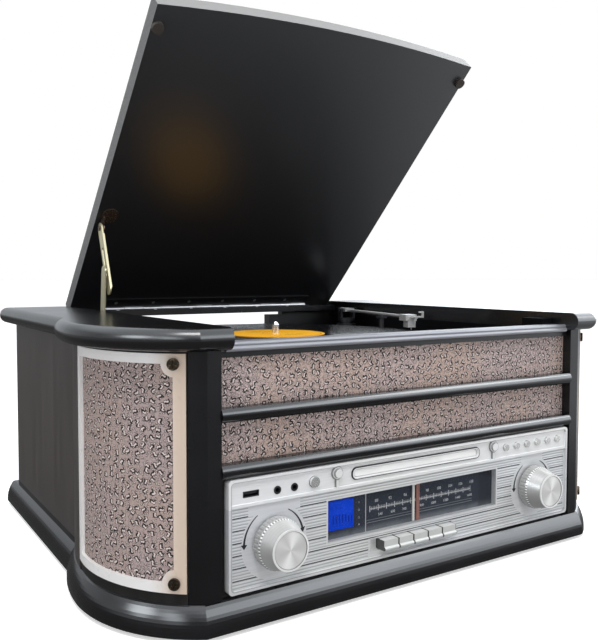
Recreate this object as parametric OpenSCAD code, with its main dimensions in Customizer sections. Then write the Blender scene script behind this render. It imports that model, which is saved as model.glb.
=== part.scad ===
// Retro music center: record player, CD drawer, radio and keys in a lacquered wooden cabinet.
// Millimetres. X right, Y back, Z up, the front faces -Y. The origin is on the floor, under the middle of
// the box that the object fills with its lid open.
// The lid is drawn open at its stay's stop, 45 degrees above closed.

/* [Cabinet] */
// Width of the body between the outer faces of the side panels
body_w = 470; // [460:1:490]
// Depth of the cabinet from the pillar faces to the back
body_d = 387; // [380:1:400]
// Height of the top of the caps above the floor
cabinet_h = 215; // [208:1:225]
// Thickness of the cabinet boards
board_t = 13.5; // [12:0.5:15]
// Thickness of the two top caps
cap_t = 16; // [14:0.5:18]
// Height of the moulded plinth, from its own underside
plinth_h = 21.5; // [18:0.5:24]
// Radius of the bowed speaker corners, at the grille frames
corner_r = 103; // [100:1:106]
// Distance that the plinth stands out from the body's sides
plinth_out = 12; // [10:0.5:14]
// Distance that the caps stand out from the body's sides
cap_out = 17; // [15:0.5:18]

/* [Front] */
// Width of the silver faceplate
plate_w = 360; // [350:1:364]
// Height of the silver faceplate
plate_h = 81; // [78:0.5:84]
// Height of the faceplate's lower edge above the floor
plate_z = 27; // [26.5:0.25:28]
// Width of the dial window
dial_w = 181; // [170:1:186]
// Height of the dial window
dial_h = 32; // [28:0.5:34]
// Radius of the spun front of each big knob
knob_r = 14.8; // [13:0.1:16]
// Travel of the small round buttons
button_travel = 1.2; // [0.8:0.1:1.5]
// Travel of the five push keys
key_travel = 2.5; // [1.5:0.1:3]

/* [Record player] */
// Radius of the record
record_r = 150; // [145:1:152]
// Radius of the platter
platter_r = 100; // [95:1:105]
// Depth of the record's playing face below the top of the caps
record_drop = 24; // [22:0.5:26]
// Length of the tonearm from its pivot to the stylus
arm_len = 177; // [170:1:178]

/* [Lid] */
// Width of the lid
lid_w = 356; // [350:1:357]
// Thickness of the lid
lid_t = 15; // [12:0.5:16]
// Angle of the open lid above its closed place
lid_open = 45; // [40:1:45]
// Rise of the lid's bowed front edge over its corners
lid_bow = 8.5; // [5:0.5:12]

/* [Fits] */
// Radial clearance of the shafts in their bores
shaft_gap = 0.05; // [0.03:0.01:0.1]
// Gap between a button or key and its hole
button_gap = 0.35; // [0.3:0.05:0.5]

/* [Hidden] */
$fn = 72;

black = "#17171a";
satin = "#2a2a2d";
silver = "#c9c9cb";
cloth = "#9a8580";

foot_h = 3;
front_y = -190;
rear_y = front_y + body_d;
side_x = body_w / 2;
plinth_top = foot_h + plinth_h;
cap_z = cabinet_h - cap_t;
opening_x = plate_w / 2 + 4.5;
corner = [149 - 235 + side_x, front_y + 92];
flank_r = 190;

// Heights of the front: rails, cloth rows and the faceplate, from the floor
plate_top = plate_z + plate_h;
low_rail_z = plate_top + 1;
rail_h = 9.5;
mid_rail_z = low_rail_z + 39.5;
top_rail_z = cap_z - 6;
cloth_y = front_y + 8.5;
plate_y = front_y;
band_z = plate_z + 62;

// Faceplate places, measured from the middle of the plate
knob_z = plate_z + 31.8;
volume_x = -141.8;
tuning_x = 132.8;
dial_x = -4.2;
dial_z = plate_z + 37.5;
slot_x = -4;
slot_z = plate_z + 71;
slot_w = 135;
slot_h = 7;
button_x0 = 97.7;
button_pitch = 13.75;
button_z = plate_z + 71.2;
function_x = -107.8;
key_x0 = -46;
key_pitch = 15.6;
key_z = plate_z + 11.7;
key_h = 8;

// Record player
spindle = [-22, 3];
record_z = cabinet_h - record_drop;
deck_z = record_z - 13;
deck_x = plate_w / 2;
pivot = [166, 132];
arm_aim = [-41, -172];
arm_z = record_z + 14;

// Lid, its hinge and its stay
hinge = [188, cabinet_h - 4];
lid_low = hinge[1] + 2.2;
lid_back = 8.5;
lid_len = 363.7;
hinge_w = 276;
knuckles = 12;
barrel_r = 2;
pin_r = 0.95;
leaf_t = 1.2;
stay_lid = [hinge[0] - 128, lid_low - 8];
stay_side = [80.5, cabinet_h - 8];
stay_lower_len = 47.4;
stay_lower_angle = 96.4;
stay_upper_angle = -112;

// Shared shapes

module both_sides() {
    children();
    mirror([1, 0, 0]) children();
}

module box(x0, x1, y0, y1, z0, z1) {
    translate([x0, y0, z0]) cube([x1 - x0, y1 - y0, z1 - z0]);
}

// Cylinder along +Y from y0 to y1
module rod_y(x, z, y0, y1, r) {
    translate([x, y0, z]) rotate([-90, 0, 0]) cylinder(h = y1 - y0, r = r);
}

// Cylinder along +X from x0 to x1
module rod_x(y, z, x0, x1, r) {
    translate([x0, y, z]) rotate([0, 90, 0]) cylinder(h = x1 - x0, r = r);
}

// Every node's place: half of what the open lid's rear corner falls short of the knobs' reach
module placed() {
    lid_rear = hinge[0] + cos(lid_open) * lid_back + sin(lid_open) * (lid_low + lid_t - hinge[1]);
    translate([0, (-(plate_y - 22) - lid_rear) / 2, 0]) children();
}

module open_lid() {
    translate([0, hinge[0], hinge[1]]) rotate([-lid_open, 0, 0])
        translate([0, -hinge[0], -hinge[1]]) children();
}

// Board with rounded outline corners in the X-Z plane, its front at y0
module plate_xz(x0, x1, z0, z1, y0, y1, r) {
    union() {
        box(x0 + r, x1 - r, y0, y1, z0, z1);
        box(x0, x1, y0, y1, z0 + r, z1 - r);
        for (x = [x0 + r, x1 - r], z = [z0 + r, z1 - r]) rod_y(x, z, y0, y1, r);
    }
}

// One moulded corner of the cabinet: a bowed corner of radius r that runs into a straight side and a
// straight front. The child is the edge's section, with x = 0 at the rim and x < 0 inwards, from z0 to z1.
// A small step sets the three lengths apart by a hair where their faces would only just meet.
module corner_run(r, side, front, inner, z0, z1, depth, step = 0) {
    flank_x = -corner[0] + flank_r - r;
    flank_a = acos((side + flank_x) / flank_r);
    flank_y = corner[1] + flank_r * sin(flank_a);
    intersection() {
        union() {
            translate([-side, rear_y, step]) mirror([1, 0, 0]) rotate([90, 0, 0])
                linear_extrude(rear_y - flank_y + 30) children();
            translate([flank_x, corner[1], 0]) rotate([0, 0, 175 - flank_a])
                rotate_extrude(angle = flank_a + 5 + 25 * step) translate([flank_r - step, 0]) children();
            translate([-corner[0], corner[1], 0]) rotate([0, 0, 180])
                rotate_extrude(angle = 80) translate([r, 0]) children();
            box(-190, -inner, -front - 2, -front + depth - 1, z0, z1);
        }
        union() {
            translate([-inner, -front, 0]) rotate([0, 0, -90]) rotate([90, 0, 0])
                linear_extrude(280 - inner) children();
            box(-280, -inner, -front + depth - 2, rear_y + 1, z0, z1);
        }
    }
}

// Cabinet

// Its face leans back in an arc of 30 mm radius up to the top edge
module plinth_section() {
    lean = asin((plinth_h - 3.8) / 30);
    polygon(concat(
        [[-34, plinth_top + 4], [-34, foot_h - 2], [-3, foot_h - 2], [0, foot_h + 0.9]],
        [for (i = [0:8]) [-30 + 30 * cos(lean * i / 8), foot_h + 3 + 30 * sin(lean * i / 8)]],
        [[-18, plinth_top + 4]]));
}

module plinth() {
    color(black) difference() {
        union() {
            both_sides() {
                corner_run(corner_r + 7, side_x + plinth_out, -front_y + 6, -1, 0, 40, 34, 0.02)
                    plinth_section();
                translate([-corner[0], corner[1], 0]) cylinder(h = 40, r = 80);
                box(-side_x + 5, -203, corner[1] - 40, rear_y, 0, 40);
            }
            box(-side_x, side_x, rear_y - 30, rear_y, 0, 40);
        }
        box(-205, 205, front_y + 25, rear_y - 30, -1, 50);
        box(-300, 300, -300, 300, -1, foot_h);
        box(-300, 300, -300, 300, plinth_top, 50);
    }
}

module bottom_board() {
    color("#8a6f52") box(-205, 205, front_y + 25, rear_y - 30, 10, 18);
}

module rubber_feet() {
    color("#202020") for (x = [-212, 212], y = [-120, 165])
        translate([x, y, 0]) cylinder(h = foot_h, r = 9);
}

module side_panels() {
    flank_x = -corner[0] + flank_r - corner_r;
    flank_a = acos((side_x + flank_x) / flank_r);
    flank_end = corner[1] + flank_r * sin(flank_a);
    color(satin) both_sides() union() {
        box(-side_x, -side_x + board_t, flank_end - 6, rear_y - board_t, plinth_top, cap_z);
        translate([flank_x, corner[1], plinth_top]) rotate([0, 0, 180 - flank_a])
            rotate_extrude(angle = flank_a - 5) translate([flank_r - board_t, 0])
            square([board_t, cap_z - plinth_top]);
    }
}

module back_panel() {
    gap_z = deck_z + 9;
    color(satin) difference() {
        union() {
            box(-side_x, side_x, rear_y - board_t, rear_y - 0.5, plinth_top, cap_z);
            box(100, deck_x, rear_y - board_t, rear_y - 3, cap_z - 2, cap_z + 4);
        }
        box(-145, 80.5, rear_y - 30, rear_y + 10, gap_z, cap_z + 10);
        box(-60, 100, rear_y - 30, rear_y + 10, 50, 76);
        for (i = [0:7]) box(120 + i * 9, 124 + i * 9, rear_y - 30, rear_y + 10, 60, 110);
    }
}

module cap_section() {
    union() {
        translate([-cap_t / 2, cap_z + cap_t / 2]) circle(r = cap_t / 2);
        translate([-68, cap_z]) square([68 - cap_t / 2, cap_t]);
    }
}

module left_cap_shape() {
    union() {
        corner_run(corner_r + 14.5, side_x + cap_out, -front_y + 11, deck_x, cap_z, cabinet_h, 68)
            cap_section();
        box(-205, -deck_x, corner[1] - 40, rear_y, cap_z, cabinet_h);
    }
}

module left_top_cap() {
    color(black) left_cap_shape();
}

module right_top_cap() {
    color(black) mirror([1, 0, 0]) left_cap_shape();
}

module rear_hinge_rail() {
    color(black) box(-deck_x, deck_x, hinge[0] - 12, hinge[0] - barrel_r - 0.3, cap_z + 4, hinge[1] - 1.2);
}

module front_top_rail() {
    color("#8f9194") difference() {
        union() {
            box(-opening_x, opening_x, front_y + 5, front_y + 18, top_rail_z, cap_z);
            box(-deck_x, deck_x, front_y + 3, front_y + 18, cap_z - 2, cap_z + 4.5);
            rod_x(front_y + 3, cap_z, -deck_x, deck_x, 2.2);
            rod_x(front_y + 4, cap_z + 3, -deck_x, deck_x, 2);
        }
        box(-200, 200, cloth_y + 1.5, front_y + 30, top_rail_z - 43, top_rail_z + 2);
    }
}

module half_round_rails() {
    color(black) for (z = [low_rail_z, mid_rail_z]) intersection() {
        union() {
            rod_x(front_y + 4, z + rail_h / 2, -opening_x, opening_x, 6);
            box(-opening_x, opening_x, front_y + 4, cloth_y + 1.5, z, z + rail_h);
        }
        box(-opening_x, opening_x, front_y - 3, cloth_y + 1.5, z, z + rail_h);
    }
}

module front_pillars() {
    edge_a = 56;
    meet_a = asin(-(front_y - corner[1]) / corner_r);
    meet_x = -corner[0] - corner_r * cos(meet_a);
    start = [-corner[0] - corner_r * cos(edge_a), corner[1] - corner_r * sin(edge_a)];
    color(black) both_sides() difference() {
        box(start[0], -opening_x, front_y, front_y + 18, plinth_top, cap_z);
        difference() {
            box(start[0] - 5, meet_x, front_y - 5, start[1] + 6, plinth_top - 1, cap_z + 1);
            translate([-corner[0], corner[1], 0]) cylinder(h = 250, r = corner_r, $fn = 180);
        }
    }
}

// Speaker window of a corner, as seen on its flat baffle
module in_baffle_frame() {
    translate([-215, front_y + 76, 0]) rotate([0, 0, 14.9]) children();
}

module corner_baffle() {
    in_baffle_frame() difference() {
        box(0, 9, -52.5, 65, plinth_top, cap_z);
        translate([-5, 0, 112]) rotate([0, 90, 0]) cylinder(h = 30, r = 38);
    }
}

module corner_hoop(z0, z1, r) {
    intersection() {
        difference() {
            translate([-corner[0], corner[1], z0]) cylinder(h = z1 - z0, r = r, $fn = 180);
            translate([-corner[0], corner[1], z0 - 1]) cylinder(h = z1 - z0 + 2, r = r - 9, $fn = 180);
        }
        box(-260, -206.8, -183, corner[1] + 15, z0 - 1, z1 + 1);
    }
}

module baffle_boards() {
    hoop_r = corner_r - 0.5;
    color(satin) {
        both_sides() {
            corner_baffle();
            corner_hoop(plinth_top, plinth_top + 7.5, hoop_r);
            corner_hoop(cap_z - 2, cap_z, hoop_r);
        }
        difference() {
            union() {
                box(-opening_x, opening_x, cloth_y + 1.5, cloth_y + 9, low_rail_z - 3, top_rail_z + 2);
                box(-opening_x, opening_x, plate_y + 5, cloth_y + 9, plinth_top, low_rail_z);
            }
            box(-174, 174, plate_y, plate_y + 40, plate_z + 1.5, plate_z + 77);
        }
    }
}

module corner_cloth() {
    r = corner_r - 3.2;
    difference() {
        translate([-corner[0], corner[1], frame_z0 + 3]) rotate([0, 0, 173])
            rotate_extrude(angle = 61, $fn = 180) translate([r, 0]) square([1.2, frame_z1 - frame_z0 - 5]);
        for (z = screw_z) at_screw(z) cylinder(h = 130, r = 1.8);
    }
}

module grille_cloth() {
    color(cloth) {
        both_sides() corner_cloth();
        box(-opening_x, opening_x, cloth_y, cloth_y + 1.5, low_rail_z + rail_h, mid_rail_z);
        box(-opening_x, opening_x, cloth_y, cloth_y + 1.5, mid_rail_z + rail_h, top_rail_z);
    }
}

// Curved bar of a grille frame, from angle a0 to a1 and height z0 to z1
module hoop(a0, a1, z0, z1) {
    translate([-corner[0], corner[1], z0]) rotate([0, 0, a0])
        rotate_extrude(angle = a1 - a0, $fn = 180) translate([corner_r - 2, 0]) square([2.6, z1 - z0]);
}

frame_z0 = plinth_top + 7.5;
frame_z1 = cap_z - 2;
screw_a = 230.5;
screw_z = [frame_z0 + 7, frame_z1 - 7];

module at_screw(z) {
    translate([-corner[0], corner[1], z]) rotate([0, 0, screw_a]) rotate([0, 90, 0]) children();
}

module grille_frame() {
    difference() {
        hoop(171, 235.2, frame_z0, frame_z1);
        difference() {
            translate([-corner[0], corner[1], frame_z0 + 7]) rotate([0, 0, 175.5])
                rotate_extrude(angle = 54.7, $fn = 180) translate([corner_r - 10, 0])
                square([20, frame_z1 - frame_z0 - 14]);
            for (z = screw_z) at_screw(z) cylinder(h = 130, r = 9);
        }
        for (z = screw_z) at_screw(z) cylinder(h = 130, r = 1.8);
    }
}

module grille_frames() {
    color("#cfcac4") both_sides() grille_frame();
}

module grille_screws() {
    color("#3a2a22") both_sides() for (z = screw_z) at_screw(z) {
        difference() {
            translate([0, 0, corner_r + 0.7]) cylinder(h = 1.9, r = 4.2);
            for (a = [0, 90]) rotate([0, 0, a]) box(-2.6, 2.6, -0.5, 0.5, corner_r + 1.6, corner_r + 5);
        }
        translate([0, 0, corner_r - 8]) cylinder(h = 8.8, r = 1.7);
    }
}

module speaker_drivers() {
    both_sides() in_baffle_frame() translate([0, 0, 112]) rotate([0, 90, 0]) {
        color("#3b3b3e") difference() {
            union() {
                translate([0, 0, -3]) cylinder(h = 3, r = 44);
                cylinder(h = 26, r1 = 37.5, r2 = 24);
            }
            translate([0, 0, -4]) cylinder(h = 27, r1 = 36, r2 = 22);
        }
        color("#1c1c1c") translate([0, 0, -1.5]) difference() {
            cylinder(h = 20, r1 = 34, r2 = 14);
            translate([0, 0, -0.1]) cylinder(h = 19, r1 = 32.6, r2 = 13);
        }
        color("#555558") translate([0, 0, 26]) cylinder(h = 14, r = 28);
    }
}

// Front panel

module faceplate() {
    y0 = plate_y;
    y1 = plate_y + 5;
    x1 = plate_w / 2;
    color(silver) difference() {
        union() {
            plate_xz(-x1, x1, plate_z, plate_top, y0, y1, 3);
            difference() {
                plate_xz(-x1, x1, plate_z, plate_top, y0 - 1.6, y0 + 1, 3);
                plate_xz(-x1 + 2.4, x1 - 2.4, plate_z + 2.4, plate_top - 2.4, y0 - 3, y0, 2);
            }
            box(-x1 + 2, x1 - 2, y0 - 1.2, y0 + 1, band_z - 1, band_z + 1);
            for (x = [-86.7, 81.8]) {
                rod_y(x, plate_top - 7, y0 - 1.4, y0 + 1, 4.8);
                rod_y(x, plate_top - 7, y0 - 3.2, y0 + 1, 3.6);
                box(x - 1.4, x + 1.4, y0 - 1.4, y0 + 1, band_z, plate_top - 7);
            }
            difference() {
                plate_xz(slot_x - slot_w / 2 - 1.2, slot_x + slot_w / 2 + 1.2, slot_z - slot_h / 2 - 1.2,
                    slot_z + slot_h / 2 + 1.2, y0 - 1, y0 + 1, 4.4);
                plate_xz(slot_x - slot_w / 2, slot_x + slot_w / 2, slot_z - slot_h / 2,
                    slot_z + slot_h / 2, y0 - 2, y0, 3.3);
            }
        }
        box(key_x0 - 8, key_x0 + key_pitch * 5 + 0.8, y0 - 1, y0 + 2.5, key_z - key_h / 2 - 0.8,
            key_z + key_h / 2 + 0.8);
        plate_xz(slot_x - 66, slot_x + 66, slot_z - 3, slot_z + 3, y0 - 5, y1 + 5, 2.2);
        box(dial_x - dial_w / 2, dial_x + dial_w / 2, y0 - 5, y1 + 5, dial_z - dial_h / 2,
            dial_z + dial_h / 2);
        for (x = [volume_x, tuning_x]) rod_y(x, knob_z, y0 - 5, y1 + 5, 3.6);
        for (i = [0:5]) rod_y(button_x0 + i * button_pitch, button_z, y0 - 5, y1 + 5, 2.8 + button_gap);
        rod_y(function_x, button_z - 0.9, y0 - 5, y1 + 5, 4 + button_gap);
        box(key_x0 - button_gap, key_x0 + key_pitch * 5 + button_gap, y0 - 5, y1 + 5,
            key_z - key_h / 2 - button_gap, key_z + key_h / 2 + button_gap);
        box(-168, -155, y0 - 5, y1 + 5, plate_z + 67.2, plate_z + 71.6);
        for (x = [-139.6, -125]) rod_y(x, plate_z + 68.8, y0 - 5, y1 + 5, 3);
    }
}

module front_sockets() {
    z = plate_z + 69.4;
    color("#222226") {
        difference() {
            box(-168, -155, plate_y - 0.2, plate_y + 16, z - 2.2, z + 2.2);
            box(-167.4, -155.6, plate_y - 1, plate_y + 12, z - 1.7, z + 1.7);
        }
        box(-166.8, -156.2, plate_y + 1, plate_y + 12.5, z - 0.2, z + 1.2);
        for (x = [-139.6, -125]) difference() {
            union() {
                rod_y(x, z - 0.6, plate_y - 0.4, plate_y + 6, 3);
                rod_y(x, z - 0.6, plate_y + 5, plate_y + 14, 4.6);
            }
            rod_y(x, z - 0.6, plate_y - 2, plate_y + 12, 1.8);
        }
    }
}

module lcd_display() {
    color("#2340c8") box(dial_x - dial_w / 2 + 2.2, dial_x - dial_w / 2 + 25.6, plate_y + 2, plate_y + 5,
        dial_z - dial_h / 2 + 7.6, dial_z + dial_h / 2 - 2.2);
}

module dial_scale() {
    color("#23262c") box(dial_x - dial_w / 2 - 2, dial_x + dial_w / 2 + 2, plate_y + 5, plate_y + 7,
        dial_z - dial_h / 2 - 2, dial_z + dial_h / 2 + 2);
}

module dial_lens() {
    color([0.8, 0.85, 0.9, 0.4]) box(dial_x - dial_w / 2, dial_x + dial_w / 2, plate_y + 0.4, plate_y + 1.6,
        dial_z - dial_h / 2, dial_z + dial_h / 2);
}

module dial_pointer() {
    x = -7.4;
    y0 = plate_y + 3.3;
    low = dial_z - dial_h / 2 + 1;
    high = dial_z + dial_h / 2;
    color("#f2f0ea") {
        box(x, x + 2, y0, y0 + 1, low, high - 1);
        box(x, x + 7.4, y0, y0 + 1, high - 1.8, high - 0.6);
        box(x + 4, x + 7.4, y0, y0 + 1, low, high - 1);
    }
}

module cd_drawer() {
    y0 = plate_y + 1;
    color("#b9babc") difference() {
        union() {
            plate_xz(slot_x - 65.6, slot_x + 65.6, slot_z - 2.6, slot_z + 2.6, y0 - 0.6, y0 + 4, 2);
            box(slot_x - 64, slot_x + 64, y0 + 3, y0 + 138, slot_z - 2.5, slot_z + 2.5);
        }
        translate([slot_x, y0 + 68, slot_z - 1]) cylinder(h = 5, r = 60.5, $fn = 120);
        translate([slot_x, y0 + 68, slot_z - 5]) cylinder(h = 8, r = 18);
        box(slot_x - 18, slot_x + 18, y0 + 68, y0 + 130, slot_z - 5, slot_z + 5);
    }
}

module cd_loader() {
    y0 = plate_y + 8;
    color("#35363a") {
        difference() {
            union() {
                box(slot_x - 70, slot_x + 70, y0, y0 + 140, slot_z - 20, slot_z + 4);
                box(slot_x - 76, slot_x + 76, y0 - 3, y0 + 1, slot_z - 14, slot_z + 6);
            }
            box(slot_x - 67.2, slot_x + 67.2, y0 - 4, y0 - 1, slot_z - 3.6, slot_z + 3.6);
            box(slot_x - 64.4, slot_x + 64.4, y0 - 4, y0 + 134, slot_z - 3, slot_z + 3.2);
            box(slot_x - 60, slot_x + 60, y0 + 4, y0 + 130, slot_z - 17, slot_z - 2);
        }
        box(slot_x - 62, slot_x + 62, y0 + 50, y0 + 72, slot_z - 17, slot_z - 12);
        translate([slot_x, y0 + 61, slot_z - 12]) cylinder(h = 8, r = 12);
    }
}

// Knob: knurled skirt, tapering body and spun front disc on a shaft
module big_knob(x) {
    color(silver) {
        difference() {
            union() {
                rod_y(x, knob_z, plate_y - 8, plate_y - 1.8, 19);
                translate([x, plate_y - 8, knob_z]) rotate([90, 0, 0])
                    cylinder(h = 12, r1 = 18.6, r2 = knob_r);
                rod_y(x, knob_z, plate_y - 22, plate_y - 19.6, knob_r);
                rod_y(x, knob_z, plate_y - 5, plate_y + 16, 3);
            }
            for (i = [0:35]) translate([x, plate_y - 8.2, knob_z]) rotate([0, i * 10, 0])
                translate([19.7, 0, 0]) rotate([-90, 0, 0]) cylinder(h = 12, r = 1.2, $fn = 16);
            rod_y(x, knob_z, plate_y - 23, plate_y - 21.5, knob_r - 1.4);
        }
    }
}

module volume_knob() {
    big_knob(volume_x);
}

module tuning_knob() {
    big_knob(tuning_x);
}

module round_button(x, z, r, proud) {
    color(silver) union() {
        rod_y(x, z, plate_y - proud, plate_y + 6, r);
        rod_y(x, z, plate_y + 5.1, plate_y + 6.6, r + 1);
    }
}

module function_button() {
    round_button(function_x, button_z - 0.9, 4, 2.4);
}

module track_button(i) {
    round_button(button_x0 + i * button_pitch, button_z, 2.8, 2.2);
}

module track_button_1() {
    track_button(0);
}

module track_button_2() {
    track_button(1);
}

module track_button_3() {
    track_button(2);
}

module track_button_4() {
    track_button(3);
}

module track_button_5() {
    track_button(4);
}

module track_button_6() {
    track_button(5);
}

module push_key(i) {
    x0 = key_x0 + i * key_pitch + 0.3;
    x1 = key_x0 + (i + 1) * key_pitch - 0.3;
    z0 = key_z - key_h / 2;
    z1 = key_z + key_h / 2;
    color("#d3d3d5") union() {
        box(x0, x1, plate_y - 6.5, plate_y + 7, z0, z1);
        rod_x(plate_y - 6.5, z0 + 1.6, x0, x1, 1.6);
        box(x0, x1, plate_y + 5.1, plate_y + 7, z0 - 2, z1 + 2);
    }
}

module push_key_1() {
    push_key(0);
}

module push_key_2() {
    push_key(1);
}

module push_key_3() {
    push_key(2);
}

module push_key_4() {
    push_key(3);
}

module push_key_5() {
    push_key(4);
}

// Record player

module turntable_deck() {
    wall = 5.5;
    motor = [spindle[0] + 62, spindle[1] + 48];
    color("#141416") difference() {
        union() {
            box(-deck_x - wall, deck_x + wall, front_y + 18, rear_y - board_t - 1, deck_z - 4, deck_z);
            both_sides() box(-deck_x - wall, -deck_x, front_y + 18, rear_y - board_t - 1, deck_z, cap_z);
            both_sides() box(-deck_x, -deck_x + 13, front_y + 18, front_y + 42, deck_z, lid_low - 4.1);
            translate([spindle[0], spindle[1], deck_z - 22]) cylinder(h = 24, r = 9);
        }
        translate([spindle[0], spindle[1], deck_z - 18]) cylinder(h = 30, r = 3 + shaft_gap);
        translate([motor[0], motor[1], deck_z - 10]) cylinder(h = 20, r = 5.5);
        translate([pivot[0], pivot[1], deck_z - 10]) cylinder(h = 20, r = 7);
    }
}

module platter() {
    top = record_z - 2;
    color("#2c2c2f") difference() {
        union() {
            translate([spindle[0], spindle[1], top - 5]) cylinder(h = 5, r = platter_r, $fn = 120);
            translate([spindle[0], spindle[1], deck_z + 2.2]) cylinder(h = 8, r = platter_r, $fn = 120);
        }
        translate([spindle[0], spindle[1], deck_z]) difference() {
            cylinder(h = top - deck_z - 4, r = platter_r - 4, $fn = 120);
            cylinder(h = 20, r = 45);
        }
    }
    color(silver) translate([spindle[0], spindle[1], deck_z - 17.5])
        cylinder(h = top - deck_z + 17.5, r = 3);
    color(silver) translate([spindle[0], spindle[1], top]) cylinder(h = 11, r = 3.5);
    color(silver) translate([spindle[0], spindle[1], top + 11]) cylinder(h = 3, r1 = 3.5, r2 = 1.4);
}

module record() {
    color("#0c0c0e") translate([spindle[0], spindle[1], record_z - 2]) difference() {
        cylinder(h = 2, r = record_r, $fn = 180);
        translate([0, 0, -1]) cylinder(h = 5, r = 3.6);
    }
    color("#f2a22a") translate([spindle[0], spindle[1], record_z]) difference() {
        cylinder(h = 0.3, r = 50, $fn = 120);
        translate([0, 0, -1]) cylinder(h = 5, r = 3.6);
    }
}

motor_at = [spindle[0] + 62, spindle[1] + 48];
pulley_r = 4;
hub_r = 45;

module drive_motor() {
    color("#9a9a9c") translate([motor_at[0], motor_at[1], deck_z - 30]) difference() {
        union() {
            cylinder(h = 23, r = 14);
            cylinder(h = 25.5, r = 5);
            translate([-19, -6, 23]) cube([38, 12, 3]);
        }
        translate([0, 0, 8]) cylinder(h = 30, r = 1.2 + shaft_gap);
    }
}

module motor_pulley() {
    color("#c8a24a") translate([motor_at[0], motor_at[1], 0]) union() {
        translate([0, 0, deck_z - 20]) cylinder(h = 24, r = 1.2);
        translate([0, 0, deck_z + 0.6]) cylinder(h = 5, r = pulley_r);
    }
}

module belt_loop(grow, h) {
    hull() {
        translate([spindle[0], spindle[1], deck_z + 3.4]) cylinder(h = h, r = hub_r + grow, $fn = 64);
        translate([motor_at[0], motor_at[1], deck_z + 3.4]) cylinder(h = h, r = pulley_r + grow, $fn = 32);
    }
}

module drive_belt() {
    color("#101010") difference() {
        belt_loop(1.4, 1.4);
        translate([0, 0, -1]) belt_loop(0.4, 5);
    }
}

module tonearm_base() {
    color("#1a1a1c") translate([pivot[0], pivot[1], deck_z]) difference() {
        union() {
            cylinder(h = 10, r = 12.5);
            cylinder(h = 13, r = 9);
            translate([0, 0, -6]) cylinder(h = 7, r = 6.9);
        }
        translate([0, 0, -3]) cylinder(h = 30, r = 2.5 + shaft_gap);
    }
}

// Everything on the tonearm is drawn along -Y from its pivot and then turned to its aim
module on_arm() {
    translate([pivot[0], pivot[1], 0]) rotate([0, 0, atan2(arm_aim[1], arm_aim[0]) + 90]) children();
}

module tonearm_yoke() {
    z0 = deck_z + 13.2;
    color("#b4b4b6") on_arm() difference() {
        union() {
            translate([0, 0, deck_z - 2.5]) cylinder(h = 17, r = 2.5);
            translate([0, 0, z0]) cylinder(h = 4, r = 11);
            for (s = [-1, 1]) box(s * 8.5 - 1.5, s * 8.5 + 1.5, -5, 5, z0 + 3, arm_z + 2.6);
        }
        rod_x(0, arm_z, -12, 12, 1 + 2 * shaft_gap);
    }
}

module tonearm() {
    color("#d8d8da") on_arm() union() {
        rod_x(0, arm_z, -9.9, 9.9, 1);
        box(-6.3, 6.3, -10, 8, arm_z - 1.6, arm_z + 2.8);
        rod_y(0, arm_z, 6, 14, 3);
        rod_y(0, arm_z, -arm_len - 1, 0, 1.8);
        for (y = [-arm_len + 5, -arm_len + 13]) box(-6.5, 6.5, y, y + 7.2, arm_z - 4, arm_z + 2.6);
        box(-5.8, 5.8, -arm_len + 6, -arm_len + 19, arm_z - 3.6, arm_z + 2.2);
        box(-4.5, 4.5, -arm_len + 3.6, -arm_len + 14, arm_z - 11, arm_z - 2);
        translate([0, -arm_len + 5, record_z + 0.5]) cylinder(h = 5, r1 = 0.4, r2 = 1.4);
        box(-1.4, 1.4, -arm_len - 7, -arm_len, arm_z - 0.8, arm_z + 1);
        box(0, 7.5, -arm_len - 8.5, -arm_len - 5.5, arm_z + 0.2, arm_z + 1.6);
        box(6, 7.5, -arm_len - 8.5, -arm_len - 5.5, arm_z, arm_z + 6.5);
        box(2.5, 7.5, -arm_len - 8.5, -arm_len - 5.5, arm_z + 5.2, arm_z + 6.5);
    }
}

module arm_rest() {
    reach = arm_len * 0.57;
    color("#1a1a1c") on_arm() translate([0, -reach, 0]) union() {
        translate([0, 0, deck_z]) cylinder(h = arm_z - deck_z - 4.6, r = 3);
        translate([0, 0, deck_z]) cylinder(h = 3, r = 6);
        box(-5.5, 5.5, -3, 3, arm_z - 5, arm_z - 2.6);
        box(2.8, 5.5, -3, 3, arm_z - 4, arm_z - 0.5);
    }
}

// Lid

module lid() {
    bow_r = (pow(lid_w / 2, 2) + pow(lid_bow, 2)) / (2 * lid_bow);
    front = hinge[0] - lid_len - lid_bow;
    color(black) open_lid() intersection() {
        box(-lid_w / 2, lid_w / 2, front - 5, hinge[0] + lid_back, lid_low, lid_low + lid_t);
        translate([0, front + bow_r, lid_low - 1]) cylinder(h = lid_t + 2, r = bow_r, $fn = 360);
    }
}

module lid_bumpers() {
    color("#3b3431") open_lid() for (x = [-173, 173])
        translate([x, hinge[0] - 344.5, lid_low - 4]) cylinder(h = 4, r = 5.2);
}

function knuckle_x(i) = -hinge_w / 2 + i * hinge_w / knuckles;

module lid_hinge_leaf() {
    w = hinge_w / knuckles;
    color("#b9b9bd") open_lid() union() {
        box(-hinge_w / 2, hinge_w / 2, hinge[0] - 15, hinge[0] - 2.6, lid_low - leaf_t, lid_low);
        for (i = [1:2:knuckles - 1]) difference() {
            union() {
                rod_x(hinge[0], hinge[1], knuckle_x(i) + 0.2, knuckle_x(i) + w - 0.2, barrel_r);
                box(knuckle_x(i) + 0.2, knuckle_x(i) + w - 0.2, hinge[0] - 4, hinge[0],
                    lid_low - leaf_t, hinge[1] + barrel_r);
            }
            rod_x(hinge[0], hinge[1], knuckle_x(i) - 1, knuckle_x(i) + w + 1, pin_r + shaft_gap);
        }
    }
}

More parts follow.
